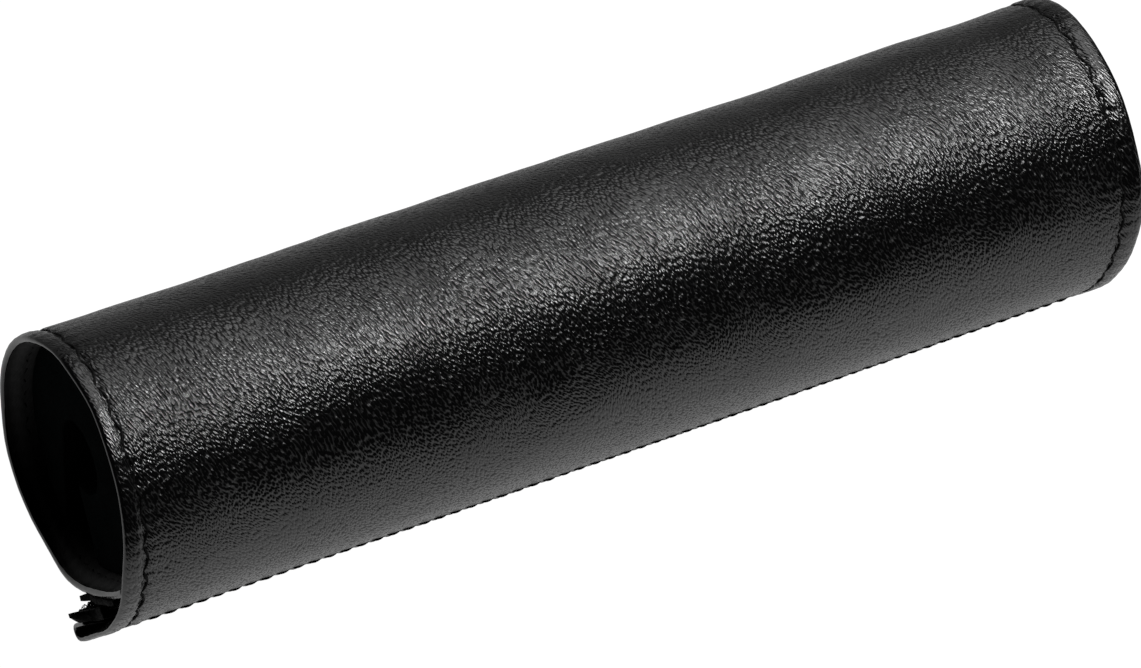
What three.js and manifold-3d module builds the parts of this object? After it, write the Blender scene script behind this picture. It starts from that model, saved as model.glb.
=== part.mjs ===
// Handlebar pad: a leatherette cover rolled round a slit foam tube and closed with hook-and-loop tape.
// Millimetres. +X runs along the pad and +Z is up. The pad lies on a soft flat spot under its belly
// and on the free edge of its closing flap, with the flap on the -Y side.
import * as THREE from 'three';
import { mergeVertices } from 'three/addons/utils/BufferGeometryUtils.js';
import Module from 'manifold-3d';

const wasm = await Module();
wasm.setup();
const radians = THREE.MathUtils.degToRad;
const degrees = THREE.MathUtils.radToDeg;

// Cover: one sheet of leatherette, rolled into an oval that is a little taller than it is wide.
const PAD_LENGTH = 236;
const HALF_WIDTH = 29;
const HALF_HEIGHT = 30.8;
const REST_SINK = 0.4;
const REST_WIDTH = 5.4;
const SHEET = 1.1;
const FOLD_GAP = 0.3;
const HEM_DEPTH = 9;

// Closing flap: it leaves the oval on the -Y side, bends down and ends in a straight run to the floor.
const FLAP_LEAVES = 140;
const FLAP_RADIUS = 45;
const FLAP_LEAN = 9;
const TIP_THICKNESS = 4;
const TIP_RETURN = 7;

// Inner panel: the other end of the sheet, which spirals in behind the flap until the tapes meet.
const PANEL_TURN = 62;
const PANEL_END_RADIUS = 50;
const PANEL_END_TURN = 28;

// Hook tape inside the flap and loop tape outside the panel, both cut from the same width.
const TAPE_WIDTH = 16;
const TAPE_THICKNESS = 1.6;
const HOOK_TAPE_FROM_TIP = 2.5;
const LOOP_TAPE_FROM_END = 7;
const TAPE_GAP = 1.8;
const TAPE_RAMP = 3;

// Foam core: a tube with a bore for the handlebar's crossbar and a slit that has sprung open.
const FOAM_RECESS = 6;
const BORE_RADIUS = 8.2;
const BORE_OFFSET_Y = 2.5;
const BORE_OFFSET_Z = -3.3;
const SLIT_FRONT_START = 246;
const SLIT_FRONT_HEADING = 206;
const SLIT_BACK_HEADING = 233;
const SLIT_LIP = 4;

// Clearance left between pieces that touch, and how finely curves are cut into facets.
const SEAT = 0.3;
const TURN_STEP = 6;
const NOSE_STEPS = 6;

const HALF_LENGTH = PAD_LENGTH / 2;
const HEM = 2 * SHEET + FOLD_GAP;

// Section of the cover's outer face, as a list of stations walked from the flap's tip to the inner end.
// Each station has its place in the Y-Z plane, its outward normal and its distance s from the tip.

function heading(angle) {
  return new THREE.Vector2(Math.cos(radians(angle)), Math.sin(radians(angle)));
}

// Points of a run that bends to the right along an arc, from a start point and a heading in degrees.
function rightArc(start, startHeading, radius, turn) {
  const centre = start.clone().addScaledVector(heading(startHeading - 90), radius);
  const steps = Math.max(2, Math.ceil((turn * radius) / (TURN_STEP * HALF_WIDTH)));
  return Array.from({ length: steps + 1 }, (_, i) =>
    centre.clone().addScaledVector(heading(startHeading + 90 - (turn * i) / steps), radius));
}

function ovalPoint(angle) {
  return new THREE.Vector2(HALF_WIDTH * Math.cos(radians(angle)), HALF_HEIGHT * Math.sin(radians(angle)));
}

function ovalHeading(angle) {
  const across = HALF_WIDTH * Math.sin(radians(angle));
  const up = -HALF_HEIGHT * Math.cos(radians(angle));
  return degrees(Math.atan2(up, across));
}

function stationsAlong(points) {
  let s = 0;
  return points.map((point, i) => {
    const before = points[Math.max(i - 1, 0)];
    const after = points[Math.min(i + 1, points.length - 1)];
    if (i > 0) s += point.distanceTo(before);
    const along = after.clone().sub(before).normalize();
    return { y: point.x, z: point.y, ny: -along.y, nz: along.x, s };
  });
}

// The flap's outer face, from its tip up to where it leaves the oval. It is found backwards: from the
// oval, round the bend, and then straight down until the turned tip meets the floor.
function flapPoints(floor) {
  const leave = ovalPoint(FLAP_LEAVES);
  const leaveHeading = ovalHeading(FLAP_LEAVES);
  const centre = leave.clone().addScaledVector(heading(leaveHeading - 90), FLAP_RADIUS);
  const bendEnd = centre.clone().addScaledVector(heading(180 + FLAP_LEAN), FLAP_RADIUS);
  const tipHeight = floor + (TIP_THICKNESS / 2) * (1 - Math.sin(radians(FLAP_LEAN)));
  const straight = (bendEnd.y - tipHeight) / Math.cos(radians(FLAP_LEAN));
  const tip = bendEnd.clone().addScaledVector(heading(270 + FLAP_LEAN), straight);
  const bend = rightArc(bendEnd, 90 + FLAP_LEAN, FLAP_RADIUS, 90 + FLAP_LEAN - leaveHeading);
  const run = [0, 1, 2, 3].map((i) => tip.clone().lerp(bendEnd, i / 4));
  return [...run, ...bend];
}

// How far the panel's outer face lies behind a point of the hook tape, at that point's height.
function gapBehind(panel, point) {
  const i = panel.findIndex((station) => station.y > point.y);
  if (i < 1) return -Infinity;
  const t = (point.y - panel[i - 1].y) / (panel[i].y - panel[i - 1].y);
  return panel[i - 1].x + (panel[i].x - panel[i - 1].x) * t - point.x;
}

// The panel bends up behind the flap at the radius that brings the loop tape to the hook tape.
function panelPoints(start, hookCorner) {
  const run = (radius) => {
    const bend = rightArc(start, 180, radius, PANEL_TURN);
    return [...bend, ...rightArc(bend.at(-1), 180 - PANEL_TURN, PANEL_END_RADIUS, PANEL_END_TURN).slice(1)];
  };
  const wanted = SEAT + TAPE_THICKNESS + TAPE_GAP;
  let [tight, wide] = [HALF_WIDTH / 3, HALF_WIDTH * 1.5];
  for (let i = 0; i < 40; i += 1) {
    const radius = (tight + wide) / 2;
    if (gapBehind(run(radius), hookCorner) > wanted) {
      tight = radius;
    } else {
      wide = radius;
    }
  }
  return run(tight);
}

function sectionPoints() {
  const floor = REST_SINK - HALF_HEIGHT;
  const flap = flapPoints(floor);

  const restAngle = degrees(Math.asin(floor / HALF_HEIGHT));
  const ovalTurn = FLAP_LEAVES - restAngle;
  const ovalSteps = Math.ceil(ovalTurn / TURN_STEP);
  const oval = Array.from({ length: ovalSteps }, (_, i) =>
    ovalPoint(FLAP_LEAVES - (ovalTurn * (i + 1)) / ovalSteps));

  const restEnd = new THREE.Vector2(oval.at(-1).x - REST_WIDTH, floor);
  const hookTop = readStation(stationsAlong(flap), HOOK_TAPE_FROM_TIP + TAPE_WIDTH);
  const hookDepth = HEM + SEAT + TAPE_THICKNESS;
  const hookCorner = new THREE.Vector2(hookTop.y - hookTop.ny * hookDepth, hookTop.z - hookTop.nz * hookDepth);

  return [...flap, ...oval, ...panelPoints(restEnd, hookCorner)];
}

// The station at distance s along a walked run, read between two of its stations.
function readStation(stations, s) {
  const i = Math.min(stations.findIndex((station) => station.s >= s - 1e-9), stations.length - 1);
  if (i < 1) return stations[0];
  const a = stations[i - 1];
  const b = stations[i];
  const t = (s - a.s) / (b.s - a.s);
  const normal = new THREE.Vector2(a.ny + (b.ny - a.ny) * t, a.nz + (b.nz - a.nz) * t).normalize();
  return { y: a.y + (b.y - a.y) * t, z: a.z + (b.z - a.z) * t, ny: normal.x, nz: normal.y, s };
}

const SECTION = stationsAlong(sectionPoints());
const SECTION_LENGTH = SECTION.at(-1).s;

// The station of the cover's section at distance s from the flap's tip.
function stationAt(s) {
  return readStation(SECTION, s);
}

// Stations of a stretch of the section: its two ends and every walked station between them.
function stretch(from, to) {
  const between = SECTION.filter((station) => station.s > from + 0.2 && station.s < to - 0.2);
  return [stationAt(from), ...between, stationAt(to)];
}

// A point at x along the pad and at a depth under the cover's outer face. Negative depths lie outside.
function under(station, x, depth) {
  return [x, station.y - station.ny * depth, station.z - station.nz * depth];
}

// Solids from rings of points: each ring is a closed outline with the same number of points.

function signedVolume(positions, indices) {
  const [a, b, c] = [new THREE.Vector3(), new THREE.Vector3(), new THREE.Vector3()];
  let volume = 0;
  for (let i = 0; i < indices.length; i += 3) {
    a.fromArray(positions, indices[i] * 3);
    b.fromArray(positions, indices[i + 1] * 3);
    c.fromArray(positions, indices[i + 2] * 3);
    volume += a.dot(b.cross(c)) / 6;
  }
  return volume;
}

function closedGeometry(positions, indices) {
  const outward = signedVolume(positions, indices) > 0 ? indices : indices.slice().reverse();
  const geometry = new THREE.BufferGeometry();
  geometry.setAttribute('position', new THREE.Float32BufferAttribute(positions, 3));
  geometry.setIndex(outward);
  return geometry;
}

// Joins rings in order and closes both ends. flat gives a ring's outline in two dimensions for its cap.
function skin(rings, flat) {
  const count = rings[0].length;
  const positions = rings.flat(2);
  const indices = [];
  for (let i = 0; i + 1 < rings.length; i += 1) {
    for (let j = 0; j < count; j += 1) {
      const k = (j + 1) % count;
      const [a, b, c, d] = [i * count + j, i * count + k, (i + 1) * count + k, (i + 1) * count + j];
      indices.push(a, b, c, a, c, d);
    }
  }
  const cap = THREE.ShapeUtils.triangulateShape(flat.map(([u, v]) => new THREE.Vector2(u, v)), []);
  const last = (rings.length - 1) * count;
  const turned = THREE.ShapeUtils.isClockWise(flat.map(([u, v]) => new THREE.Vector2(u, v)));
  for (const [a, b, c] of cap) {
    if (turned) {
      indices.push(a, b, c, last + a, last + c, last + b);
    } else {
      indices.push(a, c, b, last + a, last + b, last + c);
    }
  }
  return closedGeometry(positions, indices);
}

// Sweeps a closed profile of [x, depth] pairs along a stretch of the section.
function sweep(stations, profile) {
  return skin(stations.map((station) => profile.map(([x, depth]) => under(station, x, depth))), profile);
}

// A slab between two depths, which may change along the pad and along the section.
function slab(stations, xs, near, far) {
  const rings = stations.map((station) => [
    ...xs.map((x) => under(station, x, near(station.s, x))),
    ...xs.map((x) => under(station, x, far(station.s, x))).reverse(),
  ]);
  const flat = [...xs.map((x) => [x, 0]), ...xs.map((x) => [x, 1]).reverse()];
  return skin(rings, flat);
}

function toSolid(geometry) {
  const bare = geometry.clone();
  bare.deleteAttribute('normal');
  bare.deleteAttribute('uv');
  const merged = mergeVertices(bare, 1e-4);
  return new wasm.Manifold(new wasm.Mesh({
    numProp: 3,
    vertProperties: new Float32Array(merged.attributes.position.array),
    triVerts: new Uint32Array(merged.index.array),
  }));
}

function toGeometry(solid) {
  const mesh = solid.getMesh();
  const geometry = new THREE.BufferGeometry();
  geometry.setAttribute('position', new THREE.Float32BufferAttribute(mesh.vertProperties, 3));
  geometry.setIndex(new THREE.Uint32BufferAttribute(mesh.triVerts, 1));
  return geometry;
}

// Half of the cover's profile across one end: the sheet runs out at depth 0, folds round a nose at
// x = HALF_LENGTH and comes back as the hem's inner layer.
function hemProfile() {
  const noseX = HALF_LENGTH - HEM / 2;
  const nose = (radius) => Array.from({ length: NOSE_STEPS + 1 }, (_, i) => {
    const angle = radians(-90 + (180 * i) / NOSE_STEPS);
    return [noseX + radius * Math.cos(angle), HEM / 2 + radius * Math.sin(angle)];
  });
  const hemEnd = HALF_LENGTH - HEM_DEPTH;
  return [...nose(HEM / 2), [hemEnd, HEM], [hemEnd, HEM - SHEET], ...nose(FOLD_GAP / 2).reverse()];
}

// The turned edge of the flap: a U at the tip, whose return lies inside the flap.
function tipFold() {
  const start = stationAt(0);
  const outer = TIP_THICKNESS / 2;
  const centre = new THREE.Vector2(start.y - start.ny * outer, start.z - start.nz * outer);
  const startAngle = degrees(Math.atan2(start.nz, start.ny));
  const turn = Array.from({ length: NOSE_STEPS + 1 }, (_, i) => {
    const normal = heading(startAngle + (180 * i) / NOSE_STEPS);
    return { y: centre.x + normal.x * outer, z: centre.y + normal.y * outer, ny: normal.x, nz: normal.y };
  });
  const back = stretch(0, TIP_RETURN).slice(1).map((station) => ({
    y: station.y - station.ny * TIP_THICKNESS,
    z: station.z - station.nz * TIP_THICKNESS,
    ny: -station.ny,
    nz: -station.nz,
  }));
  const x = HALF_LENGTH - HEM / 2;
  return sweep([stationAt(FOLD_GAP), ...turn, ...back], [[-x, 0], [x, 0], [x, SHEET], [-x, SHEET]]);
}

function coverGeometry() {
  const right = hemProfile();
  const left = right.map(([x, depth]) => [-x, depth]).reverse();
  const body = sweep(SECTION, [...right, ...left]);
  return toGeometry(toSolid(body).add(toSolid(tipFold())));
}

// Smooth step from 0 to 1 as value goes from edge to edge + width.
function ramp(value, edge, width) {
  return THREE.MathUtils.smoothstep(value, edge, edge + width);
}

// The hook tape lies on the flap's inner face, and climbs over the end hems and the turned tip.
function hookTapeGeometry() {
  const rest = (s, x) => {
    const overHem = HEM - SHEET;
    const hem = overHem * ramp(Math.abs(x), HALF_LENGTH - HEM_DEPTH - TAPE_RAMP, TAPE_RAMP - SEAT);
    const fold = (TIP_THICKNESS - SHEET) * (1 - ramp(s, TIP_RETURN + SEAT, TAPE_RAMP));
    return SHEET + SEAT + Math.max(hem, fold);
  };
  const hemEnd = HALF_LENGTH - HEM_DEPTH;
  const half = [hemEnd - TAPE_RAMP, hemEnd - TAPE_RAMP / 2, hemEnd - SEAT, HALF_LENGTH];
  const xs = [...half.map((x) => -x).reverse(), ...half];
  const from = HOOK_TAPE_FROM_TIP;
  const folds = [TIP_RETURN + SEAT, TIP_RETURN + SEAT + TAPE_RAMP / 2, TIP_RETURN + SEAT + TAPE_RAMP];
  const stations = [from, ...folds, from + TAPE_WIDTH * 0.6, from + TAPE_WIDTH * 0.8, from + TAPE_WIDTH].map(stationAt);
  return slab(stations, xs, rest, (s, x) => rest(s, x) + TAPE_THICKNESS);
}

// The loop tape lies on the panel's outer face, which is smooth from end to end.
function loopTapeGeometry() {
  const to = SECTION_LENGTH - LOOP_TAPE_FROM_END;
  return slab(stretch(to - TAPE_WIDTH, to), [-HALF_LENGTH, HALF_LENGTH], () => -SEAT - TAPE_THICKNESS, () => -SEAT);
}

// The foam fills the cover: its outline is the cover's section, taken at a depth under the outer face.
function foamRing(x, depth) {
  const from = SECTION.findIndex((station) => station.s > foamStart());
  return SECTION.slice(from).map((station) => under(station, x, depth));
}

// The foam's outline starts on the oval, level with the panel's inner end.
function foamStart() {
  const end = SECTION.at(-1);
  const level = SECTION.find((station) => station.z > end.z + HEM && station.s < SECTION_LENGTH / 2);
  return level.s;
}

function slitCutter() {
  const centre = new THREE.Vector2(BORE_OFFSET_Y, BORE_OFFSET_Z);
  const reach = HALF_HEIGHT + SLIT_LIP;
  const frontStart = centre.clone().addScaledVector(heading(SLIT_FRONT_START), BORE_RADIUS);
  const backStart = centre.clone().addScaledVector(heading(SLIT_BACK_HEADING + 90), BORE_RADIUS);
  const frontEnd = frontStart.clone().addScaledVector(heading(SLIT_FRONT_HEADING), reach);
  const backEnd = backStart.clone().addScaledVector(heading(SLIT_BACK_HEADING), reach);
  const shape = new THREE.Shape([centre, frontStart, frontEnd, backEnd, backStart]);
  return alongX(new THREE.ExtrudeGeometry(shape, { depth: PAD_LENGTH, bevelEnabled: false }));
}

// Turns a shape drawn in the Y-Z plane and extruded along its third axis so that it runs along X.
function alongX(geometry) {
  geometry.translate(0, 0, -HALF_LENGTH);
  const turn = new THREE.Matrix4().set(0, 0, 1, 0, 1, 0, 0, 0, 0, 1, 0, 0, 0, 0, 0, 1);
  return geometry.applyMatrix4(turn);
}

function boreCutter() {
  const circle = new THREE.Shape().absarc(BORE_OFFSET_Y, BORE_OFFSET_Z, BORE_RADIUS, 0, 2 * Math.PI);
  return alongX(new THREE.ExtrudeGeometry(circle, { depth: PAD_LENGTH, bevelEnabled: false, curveSegments: 32 }));
}

function foamGeometry() {
  const squeezed = HEM + SEAT;
  const full = SHEET + SEAT;
  const end = HALF_LENGTH - FOAM_RECESS;
  const hemEnd = HALF_LENGTH - HEM_DEPTH;
  const half = [[hemEnd - TAPE_RAMP, full], [hemEnd - SEAT, squeezed], [end, squeezed]];
  const stops = [...half.map(([x, depth]) => [-x, depth]).reverse(), ...half];
  const rings = stops.map(([x, depth]) => foamRing(x, depth));
  const blank = toSolid(skin(rings, rings[0].map(([, y, z]) => [y, z])));
  return toGeometry(blank.subtract(toSolid(boreCutter())).subtract(toSolid(slitCutter())));
}

function material(color, roughness) {
  return new THREE.MeshStandardMaterial({ color, roughness, metalness: 0 });
}

function node(name, geometry, surface) {
  const mesh = new THREE.Mesh(geometry, surface);
  mesh.name = name;
  return mesh;
}

const pad = new THREE.Group();
pad.add(
  node('leatherette_cover', coverGeometry(), material(0x17181a, 0.42)),
  node('foam_core', foamGeometry(), material(0x1c1d1f, 0.95)),
  node('hook_tape', hookTapeGeometry(), material(0x101112, 0.85)),
  node('loop_tape', loopTapeGeometry(), material(0x141516, 0.95)),
);

// The origin is on the floor, under the middle of the pad.
const extent = new THREE.Box3().setFromObject(pad, true);
const middle = extent.getCenter(new THREE.Vector3());
pad.position.set(-middle.x, -middle.y, -extent.min.z);
pad.updateMatrixWorld(true);

export default pad;
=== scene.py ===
# %% [markdown]
# # A handlebar pad
#
# The pad is a slit foam tube in a wrap of black leatherette. The wrap is one sheet: both its ends are
# turned in and stitched, its long free edge is folded, and hook-and-loop tape closes it.
#
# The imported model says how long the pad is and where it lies. It is loaded first and never moved, and the
# four main pieces that are made below stand for its four soft solids.

# %% Load the frame
import math

import bmesh
import bpy
import numpy as np
from mathutils import Matrix, Vector, geometry


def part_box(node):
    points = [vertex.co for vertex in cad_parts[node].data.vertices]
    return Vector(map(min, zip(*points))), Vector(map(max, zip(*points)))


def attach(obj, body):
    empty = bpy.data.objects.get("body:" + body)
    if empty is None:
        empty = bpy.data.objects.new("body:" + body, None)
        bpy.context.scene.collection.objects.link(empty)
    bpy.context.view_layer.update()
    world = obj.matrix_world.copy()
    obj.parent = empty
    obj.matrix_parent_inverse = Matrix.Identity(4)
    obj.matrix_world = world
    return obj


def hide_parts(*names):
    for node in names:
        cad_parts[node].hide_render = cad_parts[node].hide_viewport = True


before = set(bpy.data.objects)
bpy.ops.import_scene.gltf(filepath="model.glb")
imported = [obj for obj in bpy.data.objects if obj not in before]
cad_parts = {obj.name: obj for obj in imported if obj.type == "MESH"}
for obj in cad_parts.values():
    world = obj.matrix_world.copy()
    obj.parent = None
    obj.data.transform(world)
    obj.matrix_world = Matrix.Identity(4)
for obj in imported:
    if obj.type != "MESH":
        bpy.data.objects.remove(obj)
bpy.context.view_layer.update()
MM = 0.001
print("nodes:", sorted(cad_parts))

# %% [markdown]
# ## The camera
#
# A camera has to be settled before the looks. The photographer
# saw the pad from the front, 28 degrees to the left and 39 degrees up. The pad lies here turned by 38
# degrees about its own length, as it would come to rest, so the camera takes the same turn about X. A long
# lens gives the weak perspective.

# %% Set up the camera
PHOTO_AZIMUTH = -28.0
PHOTO_ELEVATION = 39.32
REST_TURN = -38.0
CAMERA_DISTANCE = 1.6404
LENS_MM = 250.6
SENSOR_MM = 36.0
CAMERA_ROLL = -0.30
CLIP_NEAR, CLIP_FAR = 0.05, 20.0
AIM_RIGHT = -1.67 * MM
AIM_UP = -7.26 * MM

# The oval's centre, which the section below is drawn round, lies this high and this far to +Y.
HALF_WIDTH = 29.0
HALF_HEIGHT = 30.8
REST_SINK = 0.4
COVER_LOW, COVER_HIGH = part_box("leatherette_cover")
AXIS_Y = COVER_HIGH[1] - HALF_WIDTH * MM
AXIS_Z = COVER_LOW[2] + (HALF_HEIGHT - REST_SINK) * MM


def add_camera():
    """A camera at the photo's angles round the pad, turned with it to where it lies."""
    camera = bpy.data.objects.new("camera", bpy.data.cameras.new("camera"))
    camera.data.sensor_width = SENSOR_MM
    camera.data.lens = LENS_MM
    camera.data.clip_start, camera.data.clip_end = CLIP_NEAR, CLIP_FAR
    bpy.context.scene.collection.objects.link(camera)
    turn = Matrix.Rotation(math.radians(REST_TURN), 4, "X")
    level = (
        Matrix.Rotation(math.radians(PHOTO_AZIMUTH), 4, "Z")
        @ Matrix.Rotation(math.radians(90 - PHOTO_ELEVATION), 4, "X")
        @ Matrix.Translation((AIM_RIGHT, AIM_UP, CAMERA_DISTANCE))
        @ Matrix.Rotation(math.radians(CAMERA_ROLL), 4, "Z")
    )
    camera.matrix_world = Matrix.Translation((0, AXIS_Y, AXIS_Z)) @ turn @ level
    bpy.context.scene.camera = camera
    return camera


camera = add_camera()
print("camera at", [round(c, 3) for c in camera.matrix_world.translation])

# %% [markdown]
# ## The section of the sheet
#
# Seen from its end the wrap is one line, and the whole pad follows from it. The line starts at the turned
# return inside the flap, goes round the flap's tip, up the flap, round the oval, along the flat spot that
# the pad lies on, and spirals in behind the flap. It is drawn with arcs in millimetres round the oval's
# centre. A point of the sheet is then named by two distances: s along this line from the tip, and x along
# the pad. A third number, depth, goes inwards from the outer face.

# %% Choose the section's sizes
SHEET = 1.1
FOLD_GAP = 0.3
HEM = 2 * SHEET + FOLD_GAP
HEM_DEPTH = 9.0
HALF_LENGTH = COVER_HIGH[0] / MM
HEM_START = HALF_LENGTH - HEM_DEPTH
FLAP_LEAVES = 140.0
FLAP_RADIUS = 45.0
FLAP_LEAN = 9.0
TIP_THICKNESS = 4.0
TIP_RETURN = 7.0
REST_WIDTH = 5.4
PANEL_RADIUS = 22.01
PANEL_TURN = 62.0
PANEL_END_RADIUS = 80.0
PANEL_END_TURN = 19.4
TRACE_STEP = 0.25


def heading(degrees):
    """A step of length 1 in Y and Z, from an angle that grows from +Y to +Z."""
    return np.array([math.cos(math.radians(degrees)), math.sin(math.radians(degrees))])


def right_arc(start, start_heading, radius, turn):
    """Points of a run that bends to the right, from a start point and a heading in degrees."""
    centre = np.asarray(start) + radius * heading(start_heading - 90)
    steps = max(2, int(math.radians(abs(turn)) * radius / TRACE_STEP))
    angles = np.linspace(start_heading + 90, start_heading + 90 - turn, steps + 1)
    return centre + radius * np.stack([np.cos(np.radians(angles)), np.sin(np.radians(angles))], axis=1)


def oval(degrees):
    """Points of the oval that the foam gives the wrap."""
    angle = np.radians(degrees)
    return np.stack([HALF_WIDTH * np.cos(angle), HALF_HEIGHT * np.sin(angle)], axis=-1)


def straight(start, end):
    """Points of a straight run."""
    steps = max(2, int(np.linalg.norm(end - start) / TRACE_STEP))
    return start + (end - start) * np.linspace(0, 1, steps + 1)[:, None]


# %% [markdown]
# The runs are joined end to end. Each arc starts with the heading that the run before it ended with, so the
# line has no corner. The sheet's free inner end is a gentle arc, so that its hem lies level along the top of
# the gap in which the tapes meet.

# %% Join the runs of the section
def trace_sheet():
    """The sheet's outer face as points in Y and Z, and the index of the flap's tip among them."""
    floor = REST_SINK - HALF_HEIGHT
    leave = oval(FLAP_LEAVES)
    leave_heading = math.degrees(
        math.atan2(
            -HALF_HEIGHT * math.cos(math.radians(FLAP_LEAVES)),
            HALF_WIDTH * math.sin(math.radians(FLAP_LEAVES)),
        )
    )
    bend_centre = leave + FLAP_RADIUS * heading(leave_heading - 90)
    bend_start = bend_centre + FLAP_RADIUS * heading(180 + FLAP_LEAN)
    tip_height = floor + TIP_THICKNESS / 2 * (1 - math.sin(math.radians(FLAP_LEAN)))
    run = (bend_start[1] - tip_height) / math.cos(math.radians(FLAP_LEAN))
    tip = bend_start + run * heading(270 + FLAP_LEAN)
    up = heading(90 + FLAP_LEAN)
    turned = tip + TIP_THICKNESS * heading(FLAP_LEAN)

    rest_angle = math.degrees(math.asin(floor / HALF_HEIGHT))
    rest_end = oval(rest_angle) - [REST_WIDTH, 0]
    panel = right_arc(rest_end, 180, PANEL_RADIUS, PANEL_TURN)
    runs = [
        straight(turned + TIP_RETURN * up, turned),
        right_arc(turned, 270 + FLAP_LEAN, TIP_THICKNESS / 2, 180),
        straight(tip, bend_start),
        right_arc(bend_start, 90 + FLAP_LEAN, FLAP_RADIUS, 90 + FLAP_LEAN - leave_heading),
        oval(np.arange(FLAP_LEAVES, rest_angle, -math.degrees(TRACE_STEP / HALF_HEIGHT))),
        straight(oval(rest_angle), rest_end),
        panel,
        right_arc(panel[-1], 180 - PANEL_TURN, PANEL_END_RADIUS, PANEL_END_TURN),
    ]
    points = np.concatenate([runs[0]] + [later[1:] for later in runs[1:]])
    return points, len(runs[0]) + len(runs[1]) - 2


# %% [markdown]
# Cloth doesn't change its bend at once, so the line is smoothed a little by a bell curve. An open line is
# carried on past both its ends before that, and a closed one is wrapped round.

# %% Smooth the line and place points on it
TRACE_SOFTNESS = 0.45
BELL_REACH = 4


def softened(values, width, step, closed=False):
    """Smooths a line of values, step apart, by a bell curve of this width."""
    reach = int(BELL_REACH * width / step)
    bell = np.exp(-0.5 * (np.arange(-reach, reach + 1) * step / width) ** 2)
    if closed:
        before, after = values[-reach:], values[:reach]
    else:
        before = 2 * values[0] - values[reach:0:-1]
        after = 2 * values[-1] - values[-2 : -reach - 2 : -1]
    padded = np.concatenate([before, values, after])
    columns = [np.convolve(padded[:, k], bell / bell.sum(), "valid") for k in range(values.shape[1])]
    return np.stack(columns, axis=1)


TRACE, TIP_INDEX = trace_sheet()
TRACE = softened(TRACE, TRACE_SOFTNESS, TRACE_STEP)
TRACE_S = np.concatenate([[0], np.cumsum(np.linalg.norm(np.diff(TRACE, axis=0), axis=1))])
TRACE_S -= TRACE_S[TIP_INDEX]
ALONG = np.gradient(TRACE, TRACE_S, axis=0)
ALONG /= np.linalg.norm(ALONG, axis=1, keepdims=True)
S_START, S_END = TRACE_S[0], TRACE_S[-1]
print(f"sheet: {S_END - S_START:.1f} mm round, {2 * HALF_LENGTH:.1f} mm long")


def read_trace(s):
    """Y, Z and the outward normal of the section at distances s, all in millimetres."""
    y, z = (np.interp(s, TRACE_S, TRACE[:, k]) for k in range(2))
    along_y, along_z = (np.interp(s, TRACE_S, ALONG[:, k]) for k in range(2))
    return y, z, -along_z, along_y


def place(s, x, depth):
    """Points of the pad, in metres, from distances along the section, along the pad and inwards."""
    s, x, depth = np.broadcast_arrays(*(np.asarray(v, float) for v in (s, x, depth)))
    y, z, normal_y, normal_z = read_trace(s)
    return np.stack(
        [x * MM, (y - normal_y * depth) * MM + AXIS_Y, (z - normal_z * depth) * MM + AXIS_Z], axis=-1
    )


# %% [markdown]
# ## What the cloth does between its seams
#
# The foam presses on the wrap from inside, and the two rings of stitches hold it back. That is what cloth
# simulation is for: a sheet with the section's shape is pinned along its seams and where the tape stiffens
# it, and air pressure swells it a little. The wrap is tight, so it moves by no more than tenths of a
# millimetre. Only how far each point moved outwards is kept, with a cap, as a map that the fine mesh reads
# afterwards.

# %% Choose what holds the cloth
CLOTH_STEP = 3.0
CLOTH_FRAMES = 16
CLOTH_PRESSURE = 12.0
CLOTH_CAP = 0.7
RING_INSET = 4.7
RING_X = HALF_LENGTH - RING_INSET
STIFF_FLAP = 22.0
STIFF_PANEL = 34.0


def grid_mesh(name, points, closed=False):
    """A mesh of quads over a grid of points, with rows joined end to end where closed."""
    rows, columns = points.shape[:2]
    mesh = bpy.data.meshes.new(name)
    index = np.arange(rows * columns).reshape(rows, columns)
    if closed:
        index = np.concatenate([index, index[:, :1]], axis=1)
    quads = np.stack([index[:-1, :-1], index[:-1, 1:], index[1:, 1:], index[1:, :-1]], axis=-1)
    mesh.from_pydata(points.reshape(-1, 3).tolist(), [], quads.reshape(-1, 4).tolist())
    return mesh


def cloth_pins(s, x):
    """How firmly each point of the sheet is held: fully at seams and tape, freely in between."""
    ring = np.clip(1 - (RING_X - np.abs(x)) / CLOTH_STEP, 0, 1)
    flap = np.clip(1 - (s - STIFF_FLAP) / CLOTH_STEP, 0, 1)
    panel = np.clip(1 - (S_END - STIFF_PANEL - s) / CLOTH_STEP, 0, 1)
    return np.maximum(np.maximum(ring, flap), panel)


# %% [markdown]
# The cloth is a coarse grid, because the simulation only has to find slow swells. It runs for a few frames,
# is read once, and is removed.

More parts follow.
